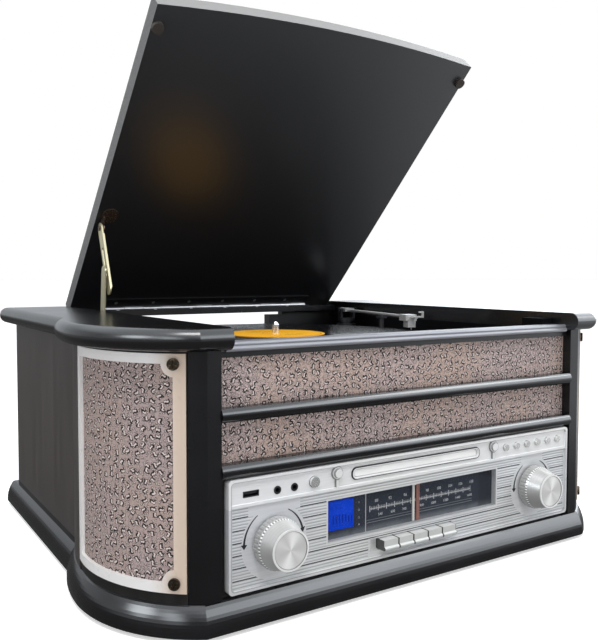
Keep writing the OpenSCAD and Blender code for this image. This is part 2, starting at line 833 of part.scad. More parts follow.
module rail_hinge_leaf() {
    w = hinge_w / knuckles;
    top = hinge[1] - 0.2;
    color("#b9b9bd") union() {
        box(-hinge_w / 2, hinge_w / 2, hinge[0] - 12, hinge[0] - 2.6, top - 1, top);
        for (i = [0:2:knuckles - 1]) difference() {
            union() {
                rod_x(hinge[0], hinge[1], knuckle_x(i) + 0.2, knuckle_x(i) + w - 0.2, barrel_r);
                box(knuckle_x(i) + 0.2, knuckle_x(i) + w - 0.2, hinge[0] - 4, hinge[0], top - 1, top);
            }
            rod_x(hinge[0], hinge[1], knuckle_x(i) - 1, knuckle_x(i) + w + 1, pin_r + 0.01);
        }
    }
}

module hinge_pin() {
    color("#8d8d90") rod_x(hinge[0], hinge[1], -hinge_w / 2, hinge_w / 2, pin_r);
}

// Lid stay: the pin of the lower arm runs in the slot of the upper arm

lower_x = -177.4;
upper_x = -174.6;
ear_x = -172.2;

module stay_bracket() {
    color("#4a3a32") open_lid() union() {
        translate([-164.5, stay_lid[0] - 11, lid_low - 2]) cylinder(h = 2, r = 8.5);
        box(ear_x, ear_x + 1.6, stay_lid[0] - 12, stay_lid[0] + 4, stay_lid[1] + 1, lid_low);
        rod_x(stay_lid[0], stay_lid[1], ear_x, ear_x + 1.6, 4);
        box(ear_x, -164.5, stay_lid[0] - 14, stay_lid[0] - 4, lid_low - 2, lid_low);
        rod_x(stay_lid[0], stay_lid[1], upper_x - 1, ear_x + 1, 1.5);
        rod_x(stay_lid[0], stay_lid[1], upper_x - 1, upper_x - 0.3, 2.6);
    }
}

// Places a child, drawn along +Y from its pivot, at the pivot and angle of an arm
module arm_at(place, angle) {
    translate([0, place[0], place[1]]) rotate([angle, 0, 0]) children();
}

function lid_point(p) = let (y = p[0] - hinge[0], z = p[1] - hinge[1], c = cos(lid_open), s = sin(lid_open))
    [hinge[0] + y * c + z * s, hinge[1] - y * s + z * c];

module stay_upper_arm() {
    color("#a8a184") arm_at(lid_point(stay_lid), stay_upper_angle) difference() {
        union() {
            box(upper_x, upper_x + 1.4, 0, 66, -5.5, 5.5);
            rod_x(0, 0, upper_x, upper_x + 1.4, 5.5);
            rod_x(66, 0, upper_x, upper_x + 1.4, 5.5);
            box(upper_x, upper_x + 2.2, 8, 66, -5.5, -4.3);
        }
        rod_x(0, 0, upper_x - 1, upper_x + 3, 1.5 + shaft_gap);
        box(upper_x - 1, upper_x + 3, 24, 50, -2.6, 2.6);
        for (y = [24, 50]) rod_x(y, 0, upper_x - 1, upper_x + 3, 2.6);
    }
}

module stay_lower_arm() {
    color("#b3ac92") arm_at(stay_side, stay_lower_angle) union() {
        difference() {
            union() {
                box(lower_x, lower_x + 1.4, 0, stay_lower_len, -5.5, 5.5);
                rod_x(0, 0, lower_x, lower_x + 1.4, 5.5);
                rod_x(stay_lower_len, 0, lower_x, lower_x + 1.4, 5.5);
            }
            rod_x(0, 0, lower_x - 1, lower_x + 3, 1.5 + shaft_gap);
        }
        rod_x(stay_lower_len, 0, lower_x, upper_x + 1.3, 1.6);
    }
}

module stay_side_plate() {
    color("#8f8a78") union() {
        box(-deck_x, -deck_x + 1.6, stay_side[0] - 8, stay_side[0] + 14, stay_side[1] - 6, stay_side[1] + 6);
        rod_x(stay_side[0], stay_side[1], -deck_x + 1, lower_x + 1.8, 1.5);
        rod_x(stay_side[0], stay_side[1], lower_x + 1.7, lower_x + 2.3, 2.6);
    }
}

// Electronics

module circuit_boards() {
    color("#1f6b3a") {
        difference() {
            box(-172, 172, plate_y + 12, plate_y + 13.6, plate_z + 2, slot_z - 22);
            for (x = [volume_x, tuning_x]) rod_y(x, knob_z, plate_y + 8, plate_y + 20, 6);
        }
        box(-170, -50, -20, 100, 26, 27.6);
    }
    color("#6a6a6c") for (x = [volume_x, tuning_x]) difference() {
        union() {
            rod_y(x, knob_z, plate_y + 5, plate_y + 12, 5.9);
            rod_y(x, knob_z, plate_y + 11.9, plate_y + 24, 5.9);
            box(x - 9, x + 9, plate_y + 13.6, plate_y + 22, knob_z - 9, knob_z + 9);
        }
        rod_y(x, knob_z, plate_y + 4, plate_y + 18, 3 + shaft_gap);
    }
    color("#444448") {
        box(-160, -110, 20, 60, 27.6, 46);
        for (x = [-90, -75]) translate([x, 60, 27.6]) cylinder(h = 22, r = 6);
    }
    color("#888888") for (x = [-165, -55], y = [-15, 95]) translate([x, y, 18]) cylinder(h = 8, r = 3);
}

module transformer() {
    color("#6b4a2a") {
        box(40, 100, 60, 110, 18, 60);
        box(34, 106, 70, 100, 18, 30);
        box(48, 92, 54, 116, 24, 54);
    }
}

module rear_terminals() {
    color("#1a1a1c") difference() {
        box(-64, 104, rear_y - board_t - 3, rear_y - board_t, 46, 80);
        for (x = [-40, -22], z = [56, 70]) rod_y(x, z, 150, 250, 3.2);
        box(66, 90, 150, 250, 55, 71);
    }
    color("#c9a227") for (x = [-40, -22], z = [56, 70]) difference() {
        rod_y(x, z, rear_y - board_t - 8, rear_y - board_t + 6, 3.2);
        rod_y(x, z, rear_y - board_t - 6, rear_y, 1.6);
    }
    color("#101010") difference() {
        box(66, 90, rear_y - board_t - 16, rear_y - board_t + 1, 55, 71);
        box(68, 88, rear_y - board_t - 13, rear_y, 57, 69);
    }
}

placed() plinth();
placed() bottom_board();
placed() rubber_feet();
placed() side_panels();
placed() back_panel();
placed() left_top_cap();
placed() right_top_cap();
placed() rear_hinge_rail();
placed() front_top_rail();
placed() half_round_rails();
placed() front_pillars();
placed() baffle_boards();
placed() grille_cloth();
placed() grille_frames();
placed() grille_screws();
placed() speaker_drivers();
placed() faceplate();
placed() front_sockets();
placed() lcd_display();
placed() dial_scale();
placed() dial_lens();
placed() dial_pointer();
placed() cd_drawer();
placed() cd_loader();
placed() volume_knob();
placed() tuning_knob();
placed() function_button();
placed() track_button_1();
placed() track_button_2();
placed() track_button_3();
placed() track_button_4();
placed() track_button_5();
placed() track_button_6();
placed() push_key_1();
placed() push_key_2();
placed() push_key_3();
placed() push_key_4();
placed() push_key_5();
placed() turntable_deck();
placed() platter();
placed() record();
placed() drive_motor();
placed() motor_pulley();
placed() drive_belt();
placed() tonearm_base();
placed() tonearm_yoke();
placed() tonearm();
placed() arm_rest();
placed() lid();
placed() lid_bumpers();
placed() lid_hinge_leaf();
placed() rail_hinge_leaf();
placed() hinge_pin();
placed() stay_bracket();
placed() stay_upper_arm();
placed() stay_lower_arm();
placed() stay_side_plate();
placed() circuit_boards();
placed() transformer();
placed() rear_terminals();
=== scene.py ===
"""Finishes, small pieces, camera and stage of a retro music center.

Every length is in metres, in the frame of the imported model: X right, Y back, Z up.
"""
import math

import bpy
from bpy.props import FloatProperty, FloatVectorProperty, PointerProperty
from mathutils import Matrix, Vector


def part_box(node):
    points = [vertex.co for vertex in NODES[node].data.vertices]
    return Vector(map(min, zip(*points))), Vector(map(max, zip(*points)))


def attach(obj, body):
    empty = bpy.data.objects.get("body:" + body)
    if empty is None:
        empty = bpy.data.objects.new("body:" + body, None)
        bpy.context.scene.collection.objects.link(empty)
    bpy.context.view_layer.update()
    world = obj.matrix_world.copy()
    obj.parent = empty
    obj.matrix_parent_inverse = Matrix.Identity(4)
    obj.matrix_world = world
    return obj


bl_info = {
    "name": "Music center dresser",
    "version": (1, 0, 0),
    "blender": (4, 5, 0),
    "location": "3D View > Sidebar > Music center",
    "description": "Dresses the packed music center with its finishes, dial, arrows and stage",
    "category": "Object",
}

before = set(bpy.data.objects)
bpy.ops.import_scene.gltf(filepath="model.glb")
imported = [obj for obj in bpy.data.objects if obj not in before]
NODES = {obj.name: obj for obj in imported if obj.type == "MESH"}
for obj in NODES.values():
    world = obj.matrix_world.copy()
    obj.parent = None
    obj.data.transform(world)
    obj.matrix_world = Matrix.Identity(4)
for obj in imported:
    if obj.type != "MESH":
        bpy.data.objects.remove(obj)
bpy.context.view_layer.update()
MM = 0.001

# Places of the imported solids
PLATE_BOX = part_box("faceplate")
PLATE_Y = PLATE_BOX[1][1] - 5 * MM
PLATE_LOW = PLATE_BOX[0][2]
VOLUME_AXIS = (-141.8 * MM, PLATE_LOW + 31.8 * MM)
TUNING_AXIS = (132.8 * MM, PLATE_LOW + 31.8 * MM)
DIAL_LOW, DIAL_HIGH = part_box("dial_lens")
DIAL_MIDDLE = (DIAL_LOW[2] + DIAL_HIGH[2]) / 2
SCALE_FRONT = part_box("dial_scale")[0][1]
SLOT_CENTRE = (-4 * MM, PLATE_LOW + 71 * MM)
SHIFT_Y = PLATE_Y + 190 * MM
SPINDLE = (-22 * MM, 3 * MM + SHIFT_Y)
CORNER = (149 * MM, -98 * MM + SHIFT_Y)
CORNER_RADIUS = 100 * MM
CLOTH_HALF = 190 * MM
HINGE = (188 * MM + SHIFT_Y, 211 * MM)
MOULDING_EDGE = 197.3 * MM
RECORD_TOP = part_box("record")[1][2] - 0.3 * MM

# How far the lid stands open, and how its hinge leaf then leans
LID_ANGLE = math.radians(45)
LEAF_ANGLE = math.radians(135)

# The camera's place, turn, shift, and nearest and farthest reach
CAMERA_PLACE = (-0.4178, -0.6369 + SHIFT_Y, 0.2498)
CAMERA_TURN = (math.radians(87.36), 0.0, math.radians(-31.05))
CAMERA_SHIFT = (0.0508, -0.0162)
CAMERA_REACH = (0.01, 30.0)
SENSOR_WIDTH = 36.0

# Middle of the object, where the lamps point
LAMP_TARGET = (0.0, 0.0, 0.15)

# Lamps that only reflections show: direction and strength
ROOM_LAMPS = (
    ((-0.916, -0.125, 0.38), 10.0),
    ((-0.785, -0.487, 0.38), 3.0),
    ((0.43, -0.81, 0.4), 4.5),
)

# Directions and colours that come back
UP = (0.0, 0.0, 1.0)
BRUSHED_ACROSS = (0.05, 1.0, 1.0)
FULL_TURN = 2 * math.pi
WHITE = (1.0, 1.0, 1.0, 1.0)
BLACK_LACQUER = (0.004, 0.004, 0.005, 1.0)
DARK_PLASTIC = (0.012, 0.012, 0.014, 1.0)
DIAL_WHITE = (0.75, 0.76, 0.77, 1.0)


def scaled(colour, *factors):
    """A colour with its red, green and blue scaled, by one factor or by three."""
    factors = factors * 3 if len(factors) == 1 else factors
    return tuple(part * factor for part, factor in zip(colour, factors)) + (1.0,)


def grey(level):
    return level, level, level, 1.0


# Shader maths

def both_ways(operation):
    """The plain and the reflected form of an operator."""
    return (lambda self, other: self.maths(operation, self, other),
            lambda self, other: self.maths(operation, other, self))


def one_way(operation):
    """A function of a number, or of a number and another."""
    return lambda self, *others: self.maths(operation, self, *others)


class Field:
    """A number that varies over a surface. Python's operators add Math nodes."""

    __add__, __radd__ = both_ways("ADD")
    __sub__, __rsub__ = both_ways("SUBTRACT")
    __mul__, __rmul__ = both_ways("MULTIPLY")
    __truediv__, __rtruediv__ = both_ways("DIVIDE")
    __and__, __rand__ = both_ways("MINIMUM")
    __or__, __ror__ = both_ways("MAXIMUM")
    __lt__ = one_way("LESS_THAN")
    __gt__ = one_way("GREATER_THAN")
    __pow__ = one_way("POWER")
    __mod__ = one_way("FLOORED_MODULO")
    __abs__ = one_way("ABSOLUTE")
    sine = one_way("SINE")
    cosine = one_way("COSINE")
    root = one_way("SQRT")
    angle_over = one_way("ARCTAN2")

    def __init__(self, graph, socket):
        self.graph = graph
        self.socket = socket

    def __neg__(self):
        return self * -1.0

    def maths(self, operation, *values):
        node = self.graph.node("ShaderNodeMath", {"operation": operation}, dict(enumerate(values)))
        return Field(self.graph, node.outputs[0])

    def between(self, low, high):
        """A mask, 1 where the number is between low and high."""
        return (self > low) & (self < high)

    def rise(self, low, high, start=0.0, end=1.0):
        """start at low, end at high, and smooth between."""
        node = self.graph.node("ShaderNodeMapRange", {"interpolation_type": "SMOOTHSTEP"},
                               {0: self, 1: low, 2: high, 3: start, 4: end})
        return Field(self.graph, node.outputs[0])

    def wave(self):
        """The sine, moved to lie between 0 and 1."""
        return self.sine() * 0.5 + 0.5


def distance(a, b):
    """The distance that two offsets at right angles make."""
    return (a * a + b * b).root()


class Graph:
    """The node tree of one new material or world."""

    def __init__(self, name, kind="materials"):
        self.owner = getattr(bpy.data, kind).new(name)
        self.owner.use_nodes = True
        self.tree = self.owner.node_tree
        self.tree.nodes.clear()

    def node(self, kind, settings=None, sockets=None):
        """Adds a node, sets its settings and then its sockets' values or links."""
        node = self.tree.nodes.new(kind)
        for key, value in (settings or {}).items():
            setattr(node, key, value)
        for key, value in (sockets or {}).items():
            if isinstance(value, Field):
                value = value.socket
            if isinstance(value, bpy.types.NodeSocket):
                self.tree.links.new(value, node.inputs[key])
            else:
                node.inputs[key].default_value = value
        return node

    def split(self, vector):
        """The three parts of a vector."""
        parts = self.node("ShaderNodeSeparateXYZ", None, {0: vector})
        return [Field(self, output) for output in parts.outputs]

    def place(self):
        """The x, y and z of the surface point at rest."""
        return self.split(self.node("ShaderNodeTexCoord").outputs["Object"])

    def vector(self, x, y, z):
        return self.node("ShaderNodeCombineXYZ", None, {0: x, 1: y, 2: z}).outputs[0]

    def vector_maths(self, operation, first, second):
        return self.node("ShaderNodeVectorMath", {"operation": operation}, {0: first, 1: second})

    def dot(self, vector, direction):
        node = self.vector_maths("DOT_PRODUCT", vector, direction)
        return Field(self, node.outputs["Value"])

    def facing(self, direction):
        """How squarely the surface faces a direction of the object's own frame."""
        return self.dot(self.node("ShaderNodeTexCoord").outputs["Normal"], direction)

    def noise(self, scale, detail, stretch=(1.0, 1.0, 1.0)):
        coordinates = self.node("ShaderNodeTexCoord").outputs["Object"]
        spread = self.vector_maths("MULTIPLY", coordinates, stretch)
        texture = self.node("ShaderNodeTexNoise", None, {
            "Vector": spread.outputs[0], "Scale": scale, "Detail": detail})
        return Field(self, texture.outputs[0])

    def mix(self, factor, first, second):
        """A colour between two colours."""
        node = self.node("ShaderNodeMix", {"data_type": "RGBA"}, {0: factor, 6: first, 7: second})
        return node.outputs[2]

    def bump(self, height, strength, distance):
        return self.node("ShaderNodeBump", None, {
            "Height": height, "Strength": strength, "Distance": distance}).outputs[0]

    def surface(self, **sockets):
        """Ends the tree with one Principled shader. Underscores in names stand for spaces."""
        values = {key.replace("_", " "): value for key, value in sockets.items()}
        shader = self.node("ShaderNodeBsdfPrincipled", None, values)
        self.node("ShaderNodeOutputMaterial", None, {0: shader.outputs[0]})
        return self.owner


# Finishes

def lacquer_finish(name, colour, roughness, gloss=0.5):
    """Black lacquer over board: soft reflections with faint waves and less smooth clouds."""
    graph = Graph(name)
    waves = graph.noise(22.0, 2.0)
    clouds = graph.noise(12.0, 2.0)
    return graph.surface(
        Base_Color=graph.mix(clouds.rise(0.35, 0.75), colour, scaled(colour, 1.7)),
        Roughness=roughness + (clouds - 0.5) * 0.1, Specular_IOR_Level=gloss,
        Normal=graph.bump(waves, 0.1, 0.0008))


def moulding_finish(name, silver, black):
    """A satin silver moulding with a black strip under it."""
    graph = Graph(name)
    _, _, z = graph.place()
    brush = graph.noise(300.0, 3.0, BRUSHED_ACROSS)
    broad = graph.noise(8.0, 2.0)
    upper = z.rise(MOULDING_EDGE - 0.4 * MM, MOULDING_EDGE + 0.4 * MM)
    tint = graph.mix(brush.rise(0.3, 0.7), scaled(silver, 0.8), silver)
    tint = graph.mix(broad.rise(0.3, 0.8) * 0.4, tint, scaled(silver, 0.7, 0.72, 0.78))
    return graph.surface(
        Base_Color=graph.mix(upper, black, tint), Metallic=upper * 0.3, Roughness=0.3 + upper * 0.15,
        Normal=graph.bump(brush, 0.08, 0.0003))


def lid_finish(name, edge_sheen_colour):
    """The lid's lacquer with painted reflections: a little paler towards its free end, and plainer
    grey edges.
    """
    graph = Graph(name)
    x, _, z = graph.place()
    outward = (0.0, math.sin(LID_ANGLE), math.cos(LID_ANGLE))
    forward = (0.0, -math.cos(LID_ANGLE), math.sin(LID_ANGLE))
    edge = 1.0 - abs(graph.facing(outward)).rise(0.55, 0.8)
    front_edge_sheen = graph.facing(forward).rise(0.5, 0.8)
    waves = graph.noise(14.0, 2.0)
    specks = graph.noise(700.0, 2.0)
    clouds = graph.noise(5.0, 2.0)
    grain = graph.noise(120.0, 3.0, (0.3, 6.0, 6.0))
    # Painted reflection: the underside grows paler up the lid and to the right
    high = (z + x * 0.3 + (clouds - 0.5) * 0.1).rise(0.26, 0.52)
    inner = graph.mix(high, (0.015, 0.0155, 0.018, 1.0), (0.036, 0.038, 0.042, 1.0))
    # Painted reflection: grey on the edges, and paler grey on the front edge
    painted_edge_sheen = graph.mix(grain.rise(0.3, 0.8), edge_sheen_colour, grey(edge_sheen_colour[0] * 1.5))
    painted_edge_sheen = graph.mix(front_edge_sheen * 0.8, painted_edge_sheen, (0.24, 0.235, 0.23, 1.0))
    return graph.surface(
        Base_Color=graph.mix(edge, inner, painted_edge_sheen),
        Roughness=0.32 + edge * 0.14 + (specks - 0.5) * 0.02, Specular_IOR_Level=0.6,
        Normal=graph.bump(waves * 0.8 + specks * 0.2, 0.1, 0.0006))


def satin_panel_finish(name, colour, inner=0.0):
    """Dark satin foil with a faint upright grain. inner paints shade on the face towards the front.
    """
    graph = Graph(name)
    # Painted shade on the face towards the front
    shaded = graph.facing((0.0, -1.0, 0.0)).rise(0.3, 0.7) * inner
    grain = graph.noise(160.0, 4.0, (1.0, 1.0, 0.06))
    broad = graph.noise(9.0, 2.0, (1.0, 1.0, 0.4))
    tint = graph.mix(grain.rise(0.3, 0.75), colour, scaled(colour, 1.5))
    tint = graph.mix(shaded, tint, grey(0.004))
    return graph.surface(
        Base_Color=tint, Roughness=0.42 + (grain - 0.5) * 0.16 + (broad - 0.5) * 0.08,
        Specular_IOR_Level=0.35, Normal=graph.bump(grain, 0.15, 0.0004))


def cloth_finish(name, ground, light, dark, pitch):
    """Grille cloth with an embossed scatter of small bent curls, each turned its own way, painted
    shadows beside them and painted shade on the curved corners.
    """
    graph = Graph(name)
    x, y, z = graph.place()
    front = abs(x) < CLOTH_HALF
    turn = (y - CORNER[1]).angle_over(abs(x) - CORNER[0])
    along = x * front + turn * CORNER_RADIUS * (1.0 - front)
    warp = graph.noise(260.0, 1.0)
    grain = graph.noise(600.0, 4.0)
    fuzz = graph.noise(1500.0, 2.0)
    patches = graph.noise(18.0, 2.0)

    def curls(size, shift, length, thickness):
        """Masks of the raised curls and of the painted shadow crescents round them, in one layer."""
        u = along / size + (warp - 0.5) * 0.25 + shift
        v = z / size + (warp - 0.5) * 0.2 + shift * 0.4
        cells = graph.node("ShaderNodeTexVoronoi", {"voronoi_dimensions": "2D"}, {
            "Vector": graph.vector(u, v, 0.0), "Scale": 1.0, "Randomness": 0.72})
        centre = graph.split(cells.outputs["Position"])
        chance = graph.node("ShaderNodeSeparateColor", None, {0: cells.outputs["Color"]}).outputs
        spin = Field(graph, chance[0]) * FULL_TURN
        curve = (Field(graph, chance[1]) - 0.5) * 6.0
        across = spin.cosine()
        upward = spin.sine()
        du = u - centre[0]
        dv = v - centre[1]
        a = du * across + dv * upward
        b = dv * across - du * upward
        off = b - (a * 13.0).sine() * 0.06 - a * a * curve
        body = (abs(off) < thickness) & (abs(a) < length)
        near = (abs(off + 0.06) < thickness + 0.14) & (abs(a + 0.04) < length + 0.11)
        return body, near & (1.0 - body) & (fuzz + grain * 0.7 > 0.66)

    body, shadowed_hollow = curls(pitch, 0.0, 0.24, 0.1)
    small, small_curl_shadow = curls(pitch * 0.5, 0.37, 0.2, 0.1)
    clear = 1.0 - (body | shadowed_hollow)
    small = small & clear
    small_curl_shadow = small_curl_shadow & clear
    deep = scaled(ground, 0.5)
    base = graph.mix(grain.rise(0.38, 0.6), deep, ground)
    base = graph.mix(patches.rise(0.35, 0.7) * 0.6, base, scaled(ground, 0.95, 0.85, 0.7))
    # Painted shade: the cloth on the curved corners is darker
    base = graph.mix((1.0 - front) * 0.5, base, deep)
    # Painted shadow beside the curls; the larger crescents are also a dent in the bump
    base = graph.mix(shadowed_hollow | small_curl_shadow * 0.75, base, dark)
    base = graph.mix(body * fuzz.rise(0.1, 0.5) | small * 0.8, base, light)
    height = body * 1.0 + small * 0.5 - shadowed_hollow * 0.6 + grain * 0.5 + fuzz * 0.2
    return graph.surface(
        Base_Color=base, Roughness=0.7 - body * 0.25, Specular_IOR_Level=0.3,
        Normal=graph.bump(height, 0.6, 0.0008))


def painted_metal_finish(name, colour, roughness, metallic):
    """Painted or plated metal with small marks."""
    graph = Graph(name)
    marks = graph.noise(260.0, 4.0)
    broad = graph.noise(30.0, 2.0)
    tint = graph.mix(broad.rise(0.3, 0.8), colour, scaled(colour, 0.84))
    return graph.surface(
        Base_Color=tint, Metallic=metallic, Roughness=roughness + (marks - 0.5) * 0.06,
        Normal=graph.bump(broad, 0.05, 0.0002))


def grille_frame_finish(name, cool, warm):
    """Pale painted frame, warmer along its front strip."""
    graph = Graph(name)
    _, y, _ = graph.place()
    inward = (CORNER[1] - y).rise(0.066, 0.084)
    marks = graph.noise(240.0, 4.0)
    tint = graph.mix(inward * 0.8, cool, warm)
    tint = graph.mix(marks.rise(0.55, 0.85) * 0.25, tint, (0.3, 0.28, 0.26, 1.0))
    return graph.surface(
        Base_Color=tint, Metallic=0.12, Roughness=0.38 + (marks - 0.5) * 0.15,
        Normal=graph.bump(marks, 0.08, 0.0003))


def beyond_rounded_box(x, z, centre, half_width, half_height, radius):
    """Distance outside a rounded box on the plate; negative inside."""
    dx = (abs(x - centre[0]) - (half_width - radius)) | 0.0
    dz = (abs(z - centre[1]) - (half_height - radius)) | 0.0
    return distance(dx, dz) - radius


def faceplate_finish(name, colour, line_colour):
    """Silver plate: smooth upper band, ribbed field with dark lines, plain discs round the knobs,
    painted shadow round the bosses.
    """
    graph = Graph(name)
    x, _, z = graph.place()
    height = z - PLATE_LOW

    def away(centre):
        return distance(x - centre[0], z - centre[1])

    field_low, field_high, field_half = 3.6 * MM, 60.5 * MM, 176.5 * MM
    field = (height < field_high) & (height > field_low) & (abs(x) < field_half)
    discs = (away(VOLUME_AXIS) > 27.5 * MM) & (away(TUNING_AXIS) > 27.0 * MM)
    dial_gap, dial_foot, dial_top = 1.5 * MM, 20 * MM, 55 * MM
    dial = ((x > DIAL_LOW[0] - dial_gap) & (x < DIAL_HIGH[0] + dial_gap) & (height > dial_foot)
            & (height < dial_top))
    keys_left, keys_right, keys_top = -56 * MM, 34 * MM, 17.5 * MM
    keys = (x > keys_left) & (x < keys_right) & (height < keys_top)
    over_knobs = height > 53 * MM
    captions = 1.0 - (abs(x - VOLUME_AXIS[0]) < 22 * MM) * over_knobs
    captions = captions & (1.0 - (abs(x - TUNING_AXIS[0]) < 14 * MM) * over_knobs)
    ribbed = field & discs & (1.0 - dial) & (1.0 - keys) & captions

    line_start, line_pitch, line_width, rib_pitch = 8.6 * MM, 8.9 * MM, 0.75 * MM, 2.22 * MM
    line = ribbed & ((height - line_start) % line_pitch < line_width) & (height > 8 * MM)
    ribs = ribbed * (height * (FULL_TURN / rib_pitch)).wave()
    slot = beyond_rounded_box(x, z, SLOT_CENTRE, 68.7 * MM, 4.7 * MM, 4.4 * MM)
    line_or_slot = line | slot.between(-0.55 * MM, 0.35 * MM)
    centre = (0.0, (PLATE_LOW + PLATE_BOX[1][2]) / 2)
    border = beyond_rounded_box(x, z, centre, 178.0 * MM, 38.5 * MM, 3 * MM)

    boss_left, boss_right, boss_height = 86.7 * MM, 81.8 * MM, PLATE_LOW + 74 * MM
    boss = away((-boss_left, boss_height)) & away((boss_right, boss_height))
    stem = (abs(x + boss_left) & abs(x - boss_right)).between(1.3 * MM, 2.1 * MM)
    stem = stem & height.between(63.2 * MM, 70 * MM) & (boss > 4.7 * MM)
    # Painted shadow: dark outlines round the bosses and along their stems
    boss_shadow_line = boss.between(4.5 * MM, 5.3 * MM) | boss.between(3.3 * MM, 3.8 * MM) | stem

    brush = graph.noise(900.0, 3.0, BRUSHED_ACROSS)
    broad = graph.noise(9.0, 2.0)
    specks = graph.noise(1500.0, 2.0)
    tint = graph.mix(brush.rise(0.25, 0.8), scaled(colour, 0.86), colour)
    tint = graph.mix(broad.rise(0.35, 0.7) * 0.5, tint, scaled(colour, 0.95, 0.96, 1.06))
    tint = graph.mix((height > field_high) * 0.4, tint, (0.97, 0.97, 0.96, 1.0))
    tint = graph.mix((1.0 - ribs.rise(0.05, 0.55)) * ribbed * 0.55, tint, (0.19, 0.2, 0.2, 1.0))
    tint = graph.mix(border.between(-0.35 * MM, 0.25 * MM) * 0.5, tint, grey(0.1))
    tint = graph.mix(boss_shadow_line * 0.65, tint, (0.06, 0.06, 0.055, 1.0))
    tint = graph.mix(line_or_slot, tint, line_colour)
    return graph.surface(
        Base_Color=tint, Metallic=0.15 - line_or_slot * 0.1, Roughness=0.36 + (brush - 0.5) * 0.12,
        Normal=graph.bump(ribs * 0.8 + brush * 0.05 + specks * 0.04, 0.5, 0.0004))


def knob_finish(name, colour):
    """Turned metal: fine rings, painted highlight wedges round each axis and on the rim, painted
    shade on one side and the skirt, and a dotted ring of painted glints.
    """
    graph = Graph(name)
    x, y, z = graph.place()
    on_right = x > 0.0
    dx = x - on_right * TUNING_AXIS[0] - (1.0 - on_right) * VOLUME_AXIS[0]
    dz = z - VOLUME_AXIS[1]
    r = distance(dx, dz)
    turn = dz.angle_over(dx)
    face_depth, skirt_depth, rim_radius = 21 * MM, 8 * MM, 13.4 * MM
    face = y < PLATE_Y - face_depth
    shaded_skirt = y > PLATE_Y - skirt_depth
    rim = (r > rim_radius) * face
    groove = r.between(13.0 * MM, 13.5 * MM) * face
    rings = (r * 9000.0).wave()
    # Painted highlights: wedges of light round each axis, and finer ones
    highlight_wedges = (turn * 2.0 - 2.6).cosine() * 0.5 + 0.5
    fine = (turn * 2.0 + 1.2).cosine() * 0.5 + 0.5
    # Painted shade on one side of the cone
    shaded_side = ((turn + 2.2).cosine() * 0.5 + 0.5) * (1.0 - face)
    highlight_wedges = highlight_wedges ** 3.0
    fine = fine ** 7.0
    marks = graph.noise(500.0, 3.0)
    dim = scaled(colour, 0.62)
    pale = tuple(min(1.0, part) for part in scaled(colour, 1.35))
    tint = graph.mix(rings * 0.2 + marks * 0.25, colour, dim)
    # Painted shade: the skirt, one side of the cone and all but the face are darker
    tint = graph.mix(shaded_skirt * 0.9, tint, dim)
    tint = graph.mix(shaded_side * 0.8 + (1.0 - face) * 0.15, tint, scaled(colour, 0.42))
    # Painted highlights on the face's wedges, and painted shade between them
    tint = graph.mix((highlight_wedges | fine * 0.8) * face * (1.0 - rim), tint, pale)
    tint = graph.mix((1.0 - highlight_wedges) * face * (1.0 - rim) * 0.35, tint, dim)
    # Painted highlight on the rim of the face
    tint = graph.mix(rim * 0.8, tint, pale)
    tint = graph.mix(groove * 0.7, tint, grey(0.12))
    # Painted shade on the knurled band, with a painted glint on each tooth as a white dot
    ring = y.between(PLATE_Y - 9.8 * MM, PLATE_Y - 8.2 * MM)
    dot_count = 48
    glint_dots = ((turn * (dot_count / FULL_TURN)) % 1.0).between(0.25, 0.75) & ring
    tint = graph.mix(ring * 0.7, tint, (0.16, 0.16, 0.155, 1.0))
    tint = graph.mix(glint_dots * 0.9, tint, WHITE)
    return graph.surface(
        Base_Color=tint, Metallic=0.35, Roughness=0.32 + (marks - 0.5) * 0.1,
        Normal=graph.bump(rings * face * 0.5 + marks * 0.2, 0.2, 0.0001))


def dial_finish(name, ground, mark):
    """Dark printed scale: rows of ticks on a line, two thin lines below, and a painted sheen on the
    low edge.
    """
    graph = Graph(name)
    x, _, z = graph.place()
    middle = DIAL_MIDDLE + 1.2 * MM
    rise = z - middle
    fine_pitch, long_pitch = 1.7 * MM, 8.5 * MM
    base_line = abs(rise) < 0.25 * MM
    fine = ((x % fine_pitch) < 0.6 * MM) & rise.between(-1.1 * MM, 1.7 * MM)
    long = ((x % long_pitch) < 0.7 * MM) & rise.between(-2.2 * MM, 2.6 * MM)
    marks = x.between(-51 * MM, 60 * MM) & (base_line | fine * 0.7 | long)
    upright = abs(x + 54.8 * MM) < 0.4 * MM
    low_line = (abs(rise + 8.6 * MM) < 0.22 * MM) | (abs(rise + 10.6 * MM) < 0.3 * MM)
    marks = marks | upright * 0.8 | (low_line & (x > -54 * MM) & (x < 62 * MM)) * 0.3
    # Painted sheen along the low edge, broken by clouds
    sheen = (middle - 10.5 * MM - z).rise(0.0, 6.5 * MM) * 0.75
    right_end = x > 70 * MM
    clouds = graph.noise(60.0, 2.0)
    tint = graph.mix(sheen * clouds.rise(0.05, 0.6), ground, (0.24, 0.26, 0.28, 1.0))
    tint = graph.mix(right_end * 0.5, tint, (0.02, 0.02, 0.024, 1.0))
    tint = graph.mix(marks, tint, mark)
    return graph.surface(Base_Color=tint, Roughness=0.35 + clouds * 0.1, Specular_IOR_Level=0.3)


